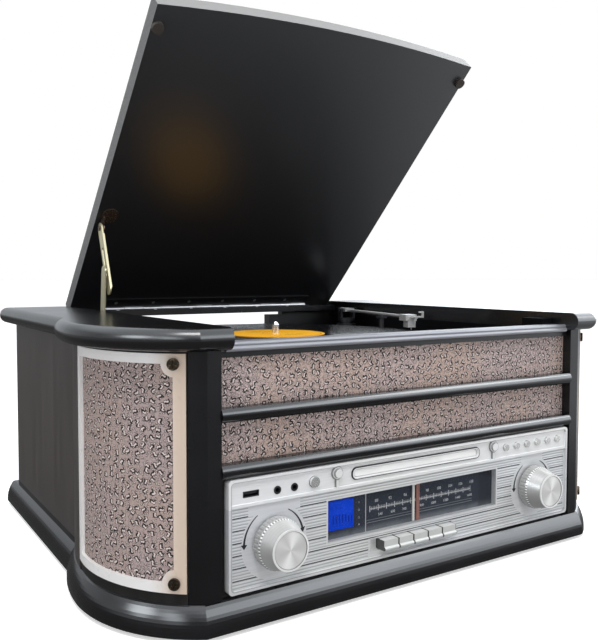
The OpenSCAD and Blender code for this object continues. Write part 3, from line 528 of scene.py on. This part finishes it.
def lcd_finish(name, glow, dim):
    """Lit blue display with rows of dim segments."""
    graph = Graph(name)
    x, _, z = graph.place()
    low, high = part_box("lcd_display")
    u = (x - low[0]) / (high[0] - low[0])
    v = (z - low[2]) / (high[2] - low[2])
    bar = ((u * 8.0) % 1.0).between(0.12, 0.7)
    height = graph.noise(90.0, 0.0).rise(0.3, 0.7) * 0.25 + 0.22
    low_row = v.between(0.12, 0.16) | (v.between(0.2, 0.52) & (v < height + 0.2))
    segment = bar & u.between(0.08, 0.94) & low_row
    upper = ((u * 5.0) % 1.0).between(0.2, 0.75) & v.between(0.72, 0.84) & u.between(0.06, 0.5)
    pixels = graph.noise(1200.0, 2.0)
    corner = (u - 0.5) * (u - 0.5) + (v - 0.55) * (v - 0.55)
    colour = graph.mix((segment * 0.7) | (upper * 0.35), glow, dim)
    colour = graph.mix(pixels * 0.2 + corner * 0.5, colour, dim)
    return graph.surface(
        Base_Color=colour, Roughness=0.3, Specular_IOR_Level=0.1, Emission_Color=colour,
        Emission_Strength=0.45)


def clear_finish(name, tint, alpha):
    """A clear moulded window with faint smears."""
    graph = Graph(name)
    smears = graph.noise(45.0, 3.0)
    return graph.surface(
        Base_Color=tint, Roughness=0.06 + smears * 0.08, Alpha=alpha + (smears - 0.5) * 0.04,
        Specular_IOR_Level=0.25)


def drawer_finish(name, front, tray):
    """Disc drawer: a silver front on a dark moulded tray."""
    graph = Graph(name)
    _, y, _ = graph.place()
    front_thickness = 2.6 * MM
    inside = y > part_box("cd_drawer")[0][1] + front_thickness
    grain = graph.noise(900.0, 3.0)
    broad = graph.noise(30.0, 2.0)
    silver = graph.mix(broad.rise(0.3, 0.8), front, scaled(front, 0.88))
    return graph.surface(
        Base_Color=graph.mix(inside, silver, tray), Metallic=0.1 - inside * 0.1,
        Roughness=0.34 + inside * 0.1 + (grain - 0.5) * 0.08, Normal=graph.bump(grain, 0.1, 0.0002))


def key_finish(name, colour, gap_shadow_colour):
    """Moulded keys: plain silver with painted shadow on their flanks, so that the narrow gaps between
    them show, and painted shade on all but their tops.
    """
    graph = Graph(name)
    x, _, _ = graph.place()
    low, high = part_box("push_key_1")
    pitch = (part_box("push_key_5")[0][0] - low[0]) / 4
    phase = (x - low[0] + 0.1 * MM) % pitch
    # Painted shadow on each key's flanks, in the gaps between the keys
    gap_shadow = 1.0 - phase.between(0.55 * MM, high[0] - low[0] - 0.35 * MM)
    marks = graph.noise(260.0, 4.0)
    top = graph.facing(UP).rise(0.4, 0.9)
    tint = graph.mix(marks.rise(0.3, 0.8) * 0.4, colour, scaled(colour, 0.9))
    # Painted shade: every face but the top is darker
    tint = graph.mix((1.0 - top) * 0.3, tint, scaled(colour, 0.6))
    tint = graph.mix(gap_shadow, tint, gap_shadow_colour)
    return graph.surface(
        Base_Color=tint, Metallic=0.1, Roughness=0.4 + (marks - 0.5) * 0.06,
        Normal=graph.bump(marks, 0.05, 0.0002))


def hinge_finish(name, bright, dull):
    """Plated hinge: bright barrels, duller leaves with small screw heads."""
    graph = Graph(name)
    x, y, z = graph.place()
    dy = y - HINGE[0]
    dz = z - HINGE[1]
    barrel_radius, screw_pitch, screw_radius, screw_gap = 2.4 * MM, 46 * MM, 2.1 * MM, 9 * MM
    barrel = distance(dy, dz) < barrel_radius
    marks = graph.noise(300.0, 3.0)
    along = ((x + 11.5 * MM) % screw_pitch) - screw_pitch / 2
    up = abs(dy * math.cos(LEAF_ANGLE) + dz * math.sin(LEAF_ANGLE)) - screw_gap
    screw = distance(along, up)
    head = (screw < screw_radius) & (1.0 - barrel)
    rim = screw.between(screw_radius, screw_radius + 0.5 * MM) & (1.0 - barrel)
    colour = graph.mix(barrel | head, dull, bright)
    colour = graph.mix(rim, colour, grey(0.003))
    return graph.surface(
        Base_Color=colour, Metallic=0.3 + (barrel | head) * 0.6, Roughness=0.34 + (marks - 0.5) * 0.1)


def needle_finish(name, white, red):
    """The pointer: a white needle and a red one beside it."""
    graph = Graph(name)
    x, _, _ = graph.place()
    low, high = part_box("dial_pointer")
    right = x > (low[0] + high[0]) / 2
    return graph.surface(
        Base_Color=graph.mix(right, white, red), Roughness=0.35 + graph.noise(400.0, 2.0) * 0.1)


def record_finish(name, vinyl, label, print_colour):
    """Grooved vinyl with bands between the tracks, and a plain printed label."""
    graph = Graph(name)
    x, y, z = graph.place()
    dx = x - SPINDLE[0]
    dy = y - SPINDLE[1]
    r = distance(dx, dy)
    label_radius, band_pitch, band_width, dash_pitch = 50.3 * MM, 16.5 * MM, 1.1 * MM, 5.5 * MM
    is_label = (r < label_radius) & (z > RECORD_TOP - 0.2 * MM)
    grooves = (r * 14000.0).wave()
    band = ((r - 58 * MM) % band_pitch) < band_width
    played = r.between(60 * MM, 146 * MM)
    depth = grooves * played * (1.0 - band)
    wobble = graph.noise(25.0, 2.0)
    ring = r.between(46.2 * MM, 46.8 * MM) | r.between(13.0 * MM, 13.4 * MM)
    rows = (dy % dash_pitch).between(0.4 * MM, 1.5 * MM) & (
        (abs(dx) < 19 * MM) & abs(dy).between(17 * MM, 30 * MM))
    dashes = rows * (graph.noise(420.0, 0.0) > 0.42)
    paper = graph.noise(300.0, 3.0)
    paper_tint = graph.mix(paper * 0.3, label, scaled(label, 0.75))
    paper_tint = graph.mix(ring | dashes, paper_tint, print_colour)
    return graph.surface(
        Base_Color=graph.mix(is_label, vinyl, paper_tint),
        Roughness=(0.16 + wobble * 0.08) * (1.0 - is_label) + is_label * 0.5, Specular_IOR_Level=0.08,
        Normal=graph.bump(depth + paper * is_label * 0.4, 0.35, 0.0002))


def platter_finish(name, metal, mat):
    """Dark ribbed mat on a grey platter, with a bright spindle."""
    graph = Graph(name)
    x, y, _ = graph.place()
    r = distance(x - SPINDLE[0], y - SPINDLE[1])
    spindle = r < 3.8 * MM
    rings = (r * 2600.0).wave()
    top = graph.facing(UP) > 0.7
    marks = graph.noise(300.0, 3.0)
    colour = graph.mix(top, metal, mat)
    colour = graph.mix(spindle, colour, (0.75, 0.75, 0.77, 1.0))
    return graph.surface(
        Base_Color=colour, Metallic=spindle * 0.9,
        Roughness=0.5 - spindle * 0.28 + (marks - 0.5) * 0.1,
        Normal=graph.bump(rings * top * (1.0 - spindle) + marks * 0.3, 0.4, 0.0004))


def plastic_finish(name, colour, roughness=0.45, gloss=0.4):
    """Moulded plastic with a fine spark texture."""
    graph = Graph(name)
    grain = graph.noise(1400.0, 3.0)
    broad = graph.noise(40.0, 2.0)
    tint = graph.mix(broad.rise(0.3, 0.8) * 0.6, colour, scaled(colour, 1.5))
    return graph.surface(
        Base_Color=tint, Roughness=roughness + (grain - 0.5) * 0.12, Specular_IOR_Level=gloss,
        Normal=graph.bump(grain, 0.12, 0.0003))


def board_finish(name, colour, dark):
    """Fibre board: pale brown with short dark fibres."""
    graph = Graph(name)
    fibres = graph.noise(500.0, 4.0, (1.0, 0.5, 1.0))
    return graph.surface(
        Base_Color=graph.mix(fibres.rise(0.35, 0.7), dark, colour),
        Roughness=0.8 + (fibres - 0.5) * 0.1, Normal=graph.bump(fibres, 0.2, 0.0004))


def screw_finish(name, colour, worn):
    """Dark plated screw with brighter worn edges."""
    graph = Graph(name)
    marks = graph.noise(900.0, 3.0)
    return graph.surface(
        Base_Color=graph.mix(marks.rise(0.5, 0.75), colour, worn), Metallic=0.8,
        Roughness=0.38 + (marks - 0.5) * 0.2, Normal=graph.bump(marks, 0.2, 0.0002))


def circuit_finish(name, mask, copper, parts):
    """Green board with tracks; what stands on it is grey."""
    graph = Graph(name)
    x, y, z = graph.place()
    tracks = ((x + y) * 900.0).sine().between(0.55, 1.1) & (graph.noise(60.0, 0.0) > 0.5)
    mains_board_top, control_board = 27.8 * MM, (PLATE_Y + 11.9 * MM, PLATE_Y + 13.7 * MM)
    on_board = (z < mains_board_top) | ((y < control_board[1]) & (y > control_board[0]))
    colour = graph.mix(tracks * 0.5, mask, copper)
    colour = graph.mix(on_board, parts, colour)
    marks = graph.noise(600.0, 2.0)
    return graph.surface(Base_Color=colour, Roughness=0.4 + marks * 0.15)


# Helpers for pieces

def dress(finish, *names):
    """Gives nodes their finish."""
    for name in names:
        node = NODES[name]
        node.data.materials.clear()
        node.data.materials.append(finish)


def soften(width, *names, segments=2):
    """Rounds the sharp edges of nodes a little, as paint and tooling leave them."""
    for name in names:
        bevel = NODES[name].modifiers.new("soft_edges", "BEVEL")
        bevel.width = width
        bevel.segments = segments
        bevel.limit_method = "ANGLE"
        bevel.angle_limit = math.radians(40)
        bevel.miter_outer = "MITER_ARC"


def add_piece(name, vertices, faces, finish, body):
    """A new mesh piece that rides on a body."""
    mesh = bpy.data.meshes.new(name)
    mesh.from_pydata([tuple(v) for v in vertices], [], faces)
    mesh.validate()
    mesh.materials.append(finish)
    piece = bpy.data.objects.new(name, mesh)
    bpy.context.scene.collection.objects.link(piece)
    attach(piece, body)
    return piece


def arrow_mesh(axis, radius, start, end, width, front):
    """A thin curved arrow round an axis on the plate. Angles in degrees from +X towards +Z."""
    steps, thickness, tail_share, head_share, head_length = 24, 0.12 * MM, 0.35, 1.6, 3.4 * MM
    faces = []

    def point(r, y, angle):
        return axis[0] + r * math.cos(angle), y, axis[1] + r * math.sin(angle)

    vertices = []
    for i in range(steps + 1):
        angle = math.radians(start + (end - start) * i / steps)
        half = width * (tail_share + (1 - tail_share) * i / steps) / 2
        vertices += [point(r, y, angle) for r in (radius - half, radius + half)
                     for y in (front, front - thickness)]
    for i in range(steps):
        a, b = 4 * i, 4 * (i + 1)
        faces += [(a + 1, a + 3, b + 3, b + 1), (a, b, b + 2, a + 2),
                  (a, a + 1, b + 1, b), (a + 2, b + 2, b + 3, a + 3)]
    last = 4 * steps
    faces += [(0, 2, 3, 1), (last, last + 1, last + 3, last + 2)]
    side = 1.0 if end > start else -1.0
    angle = math.radians(end)
    tip = math.radians(end + side * math.degrees(head_length / radius))
    head = [(radius - width * head_share, angle), (radius + width * head_share, angle), (radius, tip)]
    base = len(vertices)
    vertices += [point(r, y, a) for y in (front - thickness, front) for r, a in head]
    faces += [(base, base + 1, base + 2), (base + 5, base + 4, base + 3),
              (base, base + 3, base + 4, base + 1), (base + 1, base + 4, base + 5, base + 2),
              (base + 2, base + 5, base + 3, base)]
    return vertices, faces


def number_meshes(words, front):
    """Vertices and faces of short numbers, each (text, x, z, size), on a plane facing the front."""
    vertices = []
    faces = []
    for text, x, z, size in words:
        curve = bpy.data.curves.new("number", "FONT")
        curve.body = text
        curve.size = size
        curve.align_x = "CENTER"
        curve.align_y = "CENTER"
        curve.resolution_u = 3
        carrier = bpy.data.objects.new("number", curve)
        bpy.context.scene.collection.objects.link(carrier)
        bpy.context.view_layer.update()
        evaluated = carrier.evaluated_get(bpy.context.evaluated_depsgraph_get())
        flat = bpy.data.meshes.new_from_object(evaluated)
        base = len(vertices)
        vertices += [(x + v.co.x, front, z + v.co.y) for v in flat.vertices]
        faces += [tuple(base + i for i in p.vertices) for p in flat.polygons]
        bpy.data.objects.remove(carrier)
        bpy.data.curves.remove(curve)
        bpy.data.meshes.remove(flat)
    return vertices, faces


# Settings

def colour_setting(name, description, default):
    return FloatVectorProperty(
        name=name, description=description, size=4, subtype="COLOR",
        min=0.0, max=1.0, default=default)


class CabinetSettings(bpy.types.PropertyGroup):
    """Colours of the cabinet."""

    lacquer: colour_setting("Lacquer", "Colour of the lacquered boards", BLACK_LACQUER)
    roughness: FloatProperty(
        name="Lacquer roughness", description="How soft the reflections of the lacquer are",
        min=0.02, max=0.8, default=0.27, subtype="FACTOR")
    panel: colour_setting("Side panel", "Colour of the satin side panels", (0.05, 0.044, 0.041, 1.0))
    # Grey painted on the lid's edges as a reflection on their black lacquer
    lid_edge_sheen: colour_setting("Lid edge", "Colour of the lid's edges", (0.11, 0.109, 0.107, 1.0))
    edge_radius: FloatProperty(
        name="Edge radius", description="Rounding of the boards' edges", unit="LENGTH",
        min=0.0, max=0.003, default=0.0009)


class GrilleSettings(bpy.types.PropertyGroup):
    """Colours of the speaker grilles."""

    ground: colour_setting("Cloth", "Ground colour of the cloth", (0.56, 0.45, 0.44, 1.0))
    raised: colour_setting("Curls", "Colour of the raised curls", (0.68, 0.59, 0.56, 1.0))
    shadow: colour_setting(
        "Curl shadow", "Colour beside the raised curls", (0.012, 0.008, 0.009, 1.0))
    pitch: FloatProperty(
        name="Pitch", description="Mean distance between two curls", unit="LENGTH",
        min=0.002, max=0.02, default=0.0062)
    frame_colour: colour_setting("Frame", "Colour of the grille frames", (0.86, 0.85, 0.85, 1.0))


class FrontSettings(bpy.types.PropertyGroup):
    """Colours of the front panel."""

    plate: colour_setting("Plate", "Colour of the faceplate", (0.64, 0.65, 0.65, 1.0))
    line: colour_setting("Lines", "Colour of the dark lines", (0.012, 0.014, 0.016, 1.0))
    knob: colour_setting("Knobs", "Colour of the knobs and buttons", (0.8, 0.8, 0.79, 1.0))
    display: colour_setting("Display", "Colour of the lit display", (0.0, 0.05, 0.6, 1.0))
    arrow_width: FloatProperty(
        name="Arrow width", description="Width of the curved arrows round the knobs", unit="LENGTH",
        min=0.0003, max=0.003, default=0.0016)


class PlayerSettings(bpy.types.PropertyGroup):
    """Colours of the record player."""

    vinyl: colour_setting("Vinyl", "Colour of the record", (0.006, 0.006, 0.007, 1.0))
    label: colour_setting("Label", "Colour of the record's label", (1.0, 0.5, 0.035, 1.0))
    arm: FloatVectorProperty(
        name="Tonearm", description="Colour of the tonearm", size=4, subtype="COLOR",
        min=0.0, max=1.0, default=grey(0.62))


class StageSettings(bpy.types.PropertyGroup):
    """Camera and light."""

    focal_length: FloatProperty(
        name="Focal length", description="Focal length of the camera in millimetres",
        min=20.0, max=120.0, default=41.7)
    key_power: FloatProperty(
        name="Key light", description="Power of the large lamp over the front left", unit="POWER",
        min=0.0, max=500.0, default=30.0)
    fill_power: FloatProperty(
        name="Fill light", description="Power of the lamp at the right", unit="POWER",
        min=0.0, max=500.0, default=12.0)
    sky_strength: FloatProperty(
        name="Sky", description="Strength of the even light from all round",
        min=0.0, max=3.0, default=0.55)


# Operators

class MUSIC_OT_cabinet(bpy.types.Operator):
    """Finishes the plinth, boards, rails and caps"""

    bl_idname = "music.cabinet"
    bl_label = "Cabinet"

    def execute(self, context):
        settings = context.scene.music_cabinet
        lacquer, roughness, panel = settings.lacquer, settings.roughness, settings.panel
        dress(lacquer_finish("black_lacquer", lacquer, roughness), "rear_hinge_rail", "front_pillars")
        dress(lacquer_finish("cap_lacquer", lacquer, roughness * 0.9, 0.75),
              "left_top_cap", "right_top_cap")
        dress(lacquer_finish("plinth_lacquer", lacquer, roughness * 0.75, 0.8), "plinth")
        dress(lacquer_finish("rail_lacquer", lacquer, roughness * 0.6, 0.8), "half_round_rails")
        dress(moulding_finish("grey_lacquer", (0.27, 0.275, 0.3, 1.0), BLACK_LACQUER),
              "front_top_rail")
        dress(satin_panel_finish("satin_panel", panel), "side_panels")
        # The rear panel's inner face gets painted shade
        dress(satin_panel_finish("rear_panel", panel, 1.0), "back_panel")
        dress(satin_panel_finish("baffle_black", scaled(panel, 0.2)), "baffle_boards")
        dress(board_finish("raw_board", (0.28, 0.2, 0.13, 1.0), (0.16, 0.1, 0.06, 1.0)),
              "bottom_board")
        dress(plastic_finish("foot_rubber", grey(0.012), 0.7), "rubber_feet")
        soften(settings.edge_radius, "front_pillars", "side_panels", "back_panel", "rear_hinge_rail")
        return {"FINISHED"}


class MUSIC_OT_grilles(bpy.types.Operator):
    """Finishes the speaker grilles, their cloth and their screws"""

    bl_idname = "music.grilles"
    bl_label = "Speaker grilles"

    def execute(self, context):
        settings = context.scene.music_grilles
        dress(cloth_finish("speaker_cloth", settings.ground, settings.raised, settings.shadow,
                           settings.pitch), "grille_cloth")
        dress(grille_frame_finish("champagne_metal", settings.frame_colour, (0.62, 0.46, 0.33, 1.0)),
              "grille_frames")
        dress(screw_finish("screw_steel", (0.04, 0.03, 0.02, 1.0), (0.2, 0.15, 0.09, 1.0)),
              "grille_screws")
        dress(painted_metal_finish("driver_metal", (0.05, 0.05, 0.053, 1.0), 0.45, 0.3),
              "speaker_drivers", "drive_motor")
        return {"FINISHED"}


class MUSIC_OT_front(bpy.types.Operator):
    """Finishes the faceplate, disc drawer and sockets, and adds the arrows round the knobs"""

    bl_idname = "music.front"
    bl_label = "Front panel"

    def execute(self, context):
        settings = context.scene.music_front
        dress(faceplate_finish("silver_plate", settings.plate, settings.line), "faceplate")
        dress(drawer_finish("drawer_silver", grey(0.95), (0.02, 0.02, 0.022, 1.0)), "cd_drawer")
        dress(plastic_finish("dark_plastic", DARK_PLASTIC),
              "front_sockets", "cd_loader", "rear_terminals")
        ink = plastic_finish("arrow_ink", settings.line, 0.5)
        front = PLATE_Y - 0.02 * MM
        arrows = (
            ("volume_arrow_left", VOLUME_AXIS, 25.5 * MM, 124.0, 176.0),
            ("volume_arrow_right", VOLUME_AXIS, 24.5 * MM, 62.0, 14.0),
            ("tuning_arrow_left", TUNING_AXIS, 23.5 * MM, 122.0, 178.0),
            ("tuning_arrow_right", TUNING_AXIS, 24.0 * MM, 64.0, 22.0),
        )
        for name, axis, radius, start, end in arrows:
            vertices, faces = arrow_mesh(axis, radius, start, end, settings.arrow_width, front)
            add_piece(name, vertices, faces, ink, "cabinet")
        return {"FINISHED"}


class MUSIC_OT_dial(bpy.types.Operator):
    """Finishes the dial window, its scale, display and pointer, and adds the numbers"""

    bl_idname = "music.dial"
    bl_label = "Dial"

    def execute(self, context):
        glow = context.scene.music_front.display
        dress(dial_finish("dial_print", (0.035, 0.043, 0.062, 1.0), DIAL_WHITE), "dial_scale")
        dress(lcd_finish("display_glass", glow, (0.0, 0.01, 0.2, 1.0)), "lcd_display")
        dress(clear_finish("clear_window", (0.02, 0.025, 0.035, 1.0), 0.12), "dial_lens")
        dress(needle_finish("pointer_plastic", (0.9, 0.89, 0.86, 1.0), (0.36, 0.16, 0.13, 1.0)),
              "dial_pointer")
        middle = DIAL_MIDDLE + 1.5 * MM
        upper = (("88", -44), ("92", -30), ("96", -14), ("98", 10), ("100", 23), ("104", 36),
                 ("106", 48), ("108", 61))
        lower = (("540", -40), ("600", -27), ("700", -15), ("900", 4), ("1000", 17), ("1200", 31),
                 ("1400", 45), ("1600", 59))
        side = (("1", 7.0), ("2", 1.0), ("3", -5.0), ("4", -10.5))
        words = [(text, x * MM, middle + 5.6 * MM, 3.4 * MM) for text, x in upper]
        words += [(text, x * MM, middle - 5.8 * MM, 3.0 * MM) for text, x in lower]
        words += [(text, -61.5 * MM, middle + rise * MM, 2.4 * MM) for text, rise in side]
        vertices, faces = number_meshes(words, SCALE_FRONT - 0.06 * MM)
        finish = plastic_finish("number_white", DIAL_WHITE, 0.5)
        add_piece("dial_numbers", vertices, faces, finish, "cabinet")
        return {"FINISHED"}


class MUSIC_OT_controls(bpy.types.Operator):
    """Finishes the knobs, buttons and keys"""

    bl_idname = "music.controls"
    bl_label = "Knobs and keys"

    def execute(self, context):
        silver = context.scene.music_front.knob
        buttons = ["function_button"] + ["track_button_%d" % i for i in range(1, 7)]
        keys = ["push_key_%d" % i for i in range(1, 6)]
        dress(knob_finish("knob_silver", silver), "volume_knob", "tuning_knob")
        dress(painted_metal_finish("button_silver", silver, 0.24, 0.75), *buttons)
        dress(key_finish("key_silver", (0.6, 0.61, 0.6, 1.0), (0.07, 0.07, 0.068, 1.0)), *keys)
        soften(0.25 * MM, *keys)
        soften(1.2 * MM, *buttons, segments=4)
        soften(0.4 * MM, "volume_knob", "tuning_knob")
        return {"FINISHED"}


class MUSIC_OT_player(bpy.types.Operator):
    """Finishes the deck, platter, record and drive"""

    bl_idname = "music.player"
    bl_label = "Record player"

    def execute(self, context):
        settings = context.scene.music_player
        dress(plastic_finish("satin_deck", (0.004, 0.004, 0.005, 1.0), 0.3, 0.12), "turntable_deck")
        dress(platter_finish("platter_metal", (0.05, 0.05, 0.055, 1.0), (0.012, 0.012, 0.013, 1.0)),
              "platter")
        dress(record_finish("vinyl_black", settings.vinyl, settings.label, (0.03, 0.02, 0.015, 1.0)),
              "record")
        dress(painted_metal_finish("brass_part", (0.62, 0.42, 0.14, 1.0), 0.3, 0.9), "motor_pulley")
        dress(plastic_finish("belt_rubber", grey(0.01), 0.65), "drive_belt")
        soften(0.8 * MM, "turntable_deck")
        return {"FINISHED"}


class MUSIC_OT_tonearm(bpy.types.Operator):
    """Finishes the tonearm, its yoke, base and rest"""

    bl_idname = "music.tonearm"
    bl_label = "Tonearm"

    def execute(self, context):
        silver = context.scene.music_player.arm
        dress(painted_metal_finish("arm_silver", silver, 0.3, 0.35), "tonearm")
        dress(plastic_finish("arm_plastic", DARK_PLASTIC), "tonearm_base", "arm_rest", "tonearm_yoke")
        soften(0.5 * MM, "tonearm", "tonearm_yoke", "arm_rest")
        return {"FINISHED"}


class MUSIC_OT_lid(bpy.types.Operator):
    """Finishes the lid, its hinge, bumpers and stay"""

    bl_idname = "music.lid"
    bl_label = "Lid and stay"

    def execute(self, context):
        arms = ("stay_upper_arm", "stay_lower_arm", "stay_side_plate")
        dress(lid_finish("lid_lacquer", context.scene.music_cabinet.lid_edge_sheen), "lid")
        dress(plastic_finish("rubber_brown", (0.035, 0.028, 0.024, 1.0), 0.7), "lid_bumpers")
        dress(hinge_finish("hinge_steel", (0.42, 0.42, 0.43, 1.0), (0.015, 0.015, 0.017, 1.0)),
              "lid_hinge_leaf", "rail_hinge_leaf", "hinge_pin")
        dress(screw_finish("bronze_steel", (0.09, 0.06, 0.045, 1.0), (0.4, 0.28, 0.2, 1.0)),
              "stay_bracket")
        dress(painted_metal_finish("stay_steel", (0.6, 0.55, 0.36, 1.0), 0.3, 0.75), *arms)
        soften(1.4 * MM, "lid", segments=3)
        soften(0.25 * MM, *arms, "lid_hinge_leaf", "rail_hinge_leaf")
        soften(1.0 * MM, "lid_bumpers", segments=3)
        return {"FINISHED"}


class MUSIC_OT_electronics(bpy.types.Operator):
    """Finishes the circuit boards and the transformer"""

    bl_idname = "music.electronics"
    bl_label = "Electronics"

    def execute(self, context):
        dress(circuit_finish("board_green", (0.012, 0.11, 0.04, 1.0), (0.3, 0.2, 0.05, 1.0),
                             grey(0.12)), "circuit_boards")
        dress(painted_metal_finish("transformer_steel", (0.12, 0.07, 0.035, 1.0), 0.5, 0.4),
              "transformer")
        return {"FINISHED"}


class MUSIC_OT_stage(bpy.types.Operator):
    """Adds the floor, the light and the camera"""

    bl_idname = "music.stage"
    bl_label = "Stage"

    def execute(self, context):
        settings = context.scene.music_stage
        scene = context.scene
        scene.view_settings.view_transform = "Standard"
        add_floor()
        add_world(settings.sky_strength)
        add_lamp("key_lamp", (-0.7, -0.9, 2.1), 0.9, settings.key_power)
        add_lamp("fill_lamp", (1.6, -1.1, 1.5), 0.8, settings.fill_power)
        data = bpy.data.cameras.new("camera")
        data.lens = settings.focal_length
        data.sensor_width = SENSOR_WIDTH
        data.shift_x, data.shift_y = CAMERA_SHIFT
        data.clip_start, data.clip_end = CAMERA_REACH
        camera = bpy.data.objects.new("camera", data)
        camera.location = CAMERA_PLACE
        camera.rotation_euler = CAMERA_TURN
        scene.collection.objects.link(camera)
        scene.camera = camera
        return {"FINISHED"}


def add_floor():
    """A wide pale floor: white to the camera, with the object's shadow, and dim in reflections."""
    graph = Graph("pale_floor")
    dust = graph.noise(3.0, 2.0)
    base = graph.mix(dust, grey(0.86), grey(0.9))
    shader = graph.node("ShaderNodeBsdfPrincipled", None, {
        "Base Color": base, "Roughness": 0.8, "Specular IOR Level": 0.1})
    path = graph.node("ShaderNodeLightPath").outputs
    glossy = Field(graph, path["Is Glossy Ray"])
    seen = Field(graph, path["Is Camera Ray"]) | Field(graph, path["Is Transmission Ray"])
    glow = graph.node("ShaderNodeEmission", None, {"Color": WHITE, "Strength": seen * 0.55})
    both = graph.node("ShaderNodeAddShader", None, {0: shader.outputs[0], 1: glow.outputs[0]})
    x, _, _ = graph.place()
    outward = x.rise(0.2, 0.95) | (-x).rise(0.55, 1.5) * 0.45
    mirrored = graph.mix(outward, grey(0.12), (0.95, 0.97, 1.0, 1.0))
    dim = graph.node("ShaderNodeBsdfDiffuse", None, {"Color": mirrored})
    final = graph.node("ShaderNodeMixShader", None,
                       {0: glossy, 1: both.outputs[0], 2: dim.outputs[0]})
    graph.node("ShaderNodeOutputMaterial", None, {0: final.outputs[0]})
    size = 60.0
    corners = [(-size, -size, 0), (size, -size, 0), (size, size, 0), (-size, size, 0)]
    mesh = bpy.data.meshes.new("floor")
    mesh.from_pydata(corners, [], [(0, 1, 2, 3)])
    mesh.materials.append(graph.owner)
    floor = bpy.data.objects.new("floor", mesh)
    bpy.context.scene.collection.objects.link(floor)


def add_world(strength):
    """Even light from all round. Reflections show a room: pale behind, above and at the sides, and a
    window with lamps in front."""
    graph = Graph("studio", "worlds")
    direction = graph.node("ShaderNodeTexCoord").outputs["Generated"]
    x, y, z = graph.split(direction)
    behind = y.rise(0.0, 0.6, 0.05, 0.75)
    overhead = z.rise(0.2, 0.75, 0.0, 1.9)
    left = x.rise(-0.6, -0.97, 0.0, 0.8)
    right = x.rise(0.45, 0.8, 0.0, 4.0)
    panes = (x * 14.0).sine().rise(-0.2, 0.9, 0.06, 1.3) | x.rise(0.35, 0.5)
    window = z.rise(0.04, 0.28, 0.0, 4.6) * z.rise(0.5, 0.75, 1.0, 0.0) * y.rise(-0.2, -0.55) * panes
    for aim, brightness in ROOM_LAMPS:
        overhead = overhead | graph.dot(direction, aim).rise(0.965, 0.995, 0.0, brightness)
    mirrored = (behind | (left | right)) | (overhead | window)
    path = graph.node("ShaderNodeLightPath").outputs
    glossy = path["Is Glossy Ray"]
    straight = Field(graph, path["Is Camera Ray"]) | Field(graph, path["Is Transmission Ray"])
    level = graph.node("ShaderNodeMix", None, {0: glossy, 2: strength, 3: mirrored}).outputs[0]
    level = graph.node("ShaderNodeMix", None, {0: straight, 2: level, 3: 1.0}).outputs[0]
    tint = graph.mix(glossy, WHITE, (0.9, 0.95, 1.0, 1.0))
    background = graph.node("ShaderNodeBackground", None, {"Color": tint, "Strength": level})
    graph.node("ShaderNodeOutputWorld", None, {0: background.outputs[0]})
    bpy.context.scene.world = graph.owner


def add_lamp(name, place, size, power):
    """A soft square lamp that points at the object."""
    data = bpy.data.lights.new(name, "AREA")
    data.shape = "SQUARE"
    data.size = size
    data.energy = power
    lamp = bpy.data.objects.new(name, data)
    lamp.location = place
    lamp.rotation_euler = (Vector(LAMP_TARGET) - Vector(place)).to_track_quat("-Z", "Y").to_euler()
    bpy.context.scene.collection.objects.link(lamp)


class MUSIC_PT_panel(bpy.types.Panel):
    """Lists the dressing steps"""

    bl_idname = "MUSIC_PT_panel"
    bl_label = "Music center"
    bl_space_type = "VIEW_3D"
    bl_region_type = "UI"
    bl_category = "Music center"

    def draw(self, context):
        for operator in OPERATORS:
            self.layout.operator(operator.bl_idname)
        for group in SETTINGS:
            settings = getattr(context.scene, group)
            for name in settings.bl_rna.properties.keys():
                if name not in {"rna_type", "name"}:
                    self.layout.prop(settings, name)


OPERATORS = (MUSIC_OT_cabinet, MUSIC_OT_grilles, MUSIC_OT_front, MUSIC_OT_dial, MUSIC_OT_controls,
             MUSIC_OT_player, MUSIC_OT_tonearm, MUSIC_OT_lid, MUSIC_OT_electronics, MUSIC_OT_stage)
SETTINGS = {
    "music_cabinet": CabinetSettings,
    "music_grilles": GrilleSettings,
    "music_front": FrontSettings,
    "music_player": PlayerSettings,
    "music_stage": StageSettings,
}


def register():
    for group, settings in SETTINGS.items():
        bpy.utils.register_class(settings)
        setattr(bpy.types.Scene, group, PointerProperty(type=settings))
    for operator in OPERATORS:
        bpy.utils.register_class(operator)
    bpy.utils.register_class(MUSIC_PT_panel)


def unregister():
    bpy.utils.unregister_class(MUSIC_PT_panel)
    for operator in reversed(OPERATORS):
        bpy.utils.unregister_class(operator)
    for group, settings in SETTINGS.items():
        delattr(bpy.types.Scene, group)
        bpy.utils.unregister_class(settings)


def main():
    """Runs every step in order."""
    register()
    for operator in OPERATORS:
        group, name = operator.bl_idname.split(".")
        getattr(getattr(bpy.ops, group), name)()


if __name__ == "__main__":
    main()
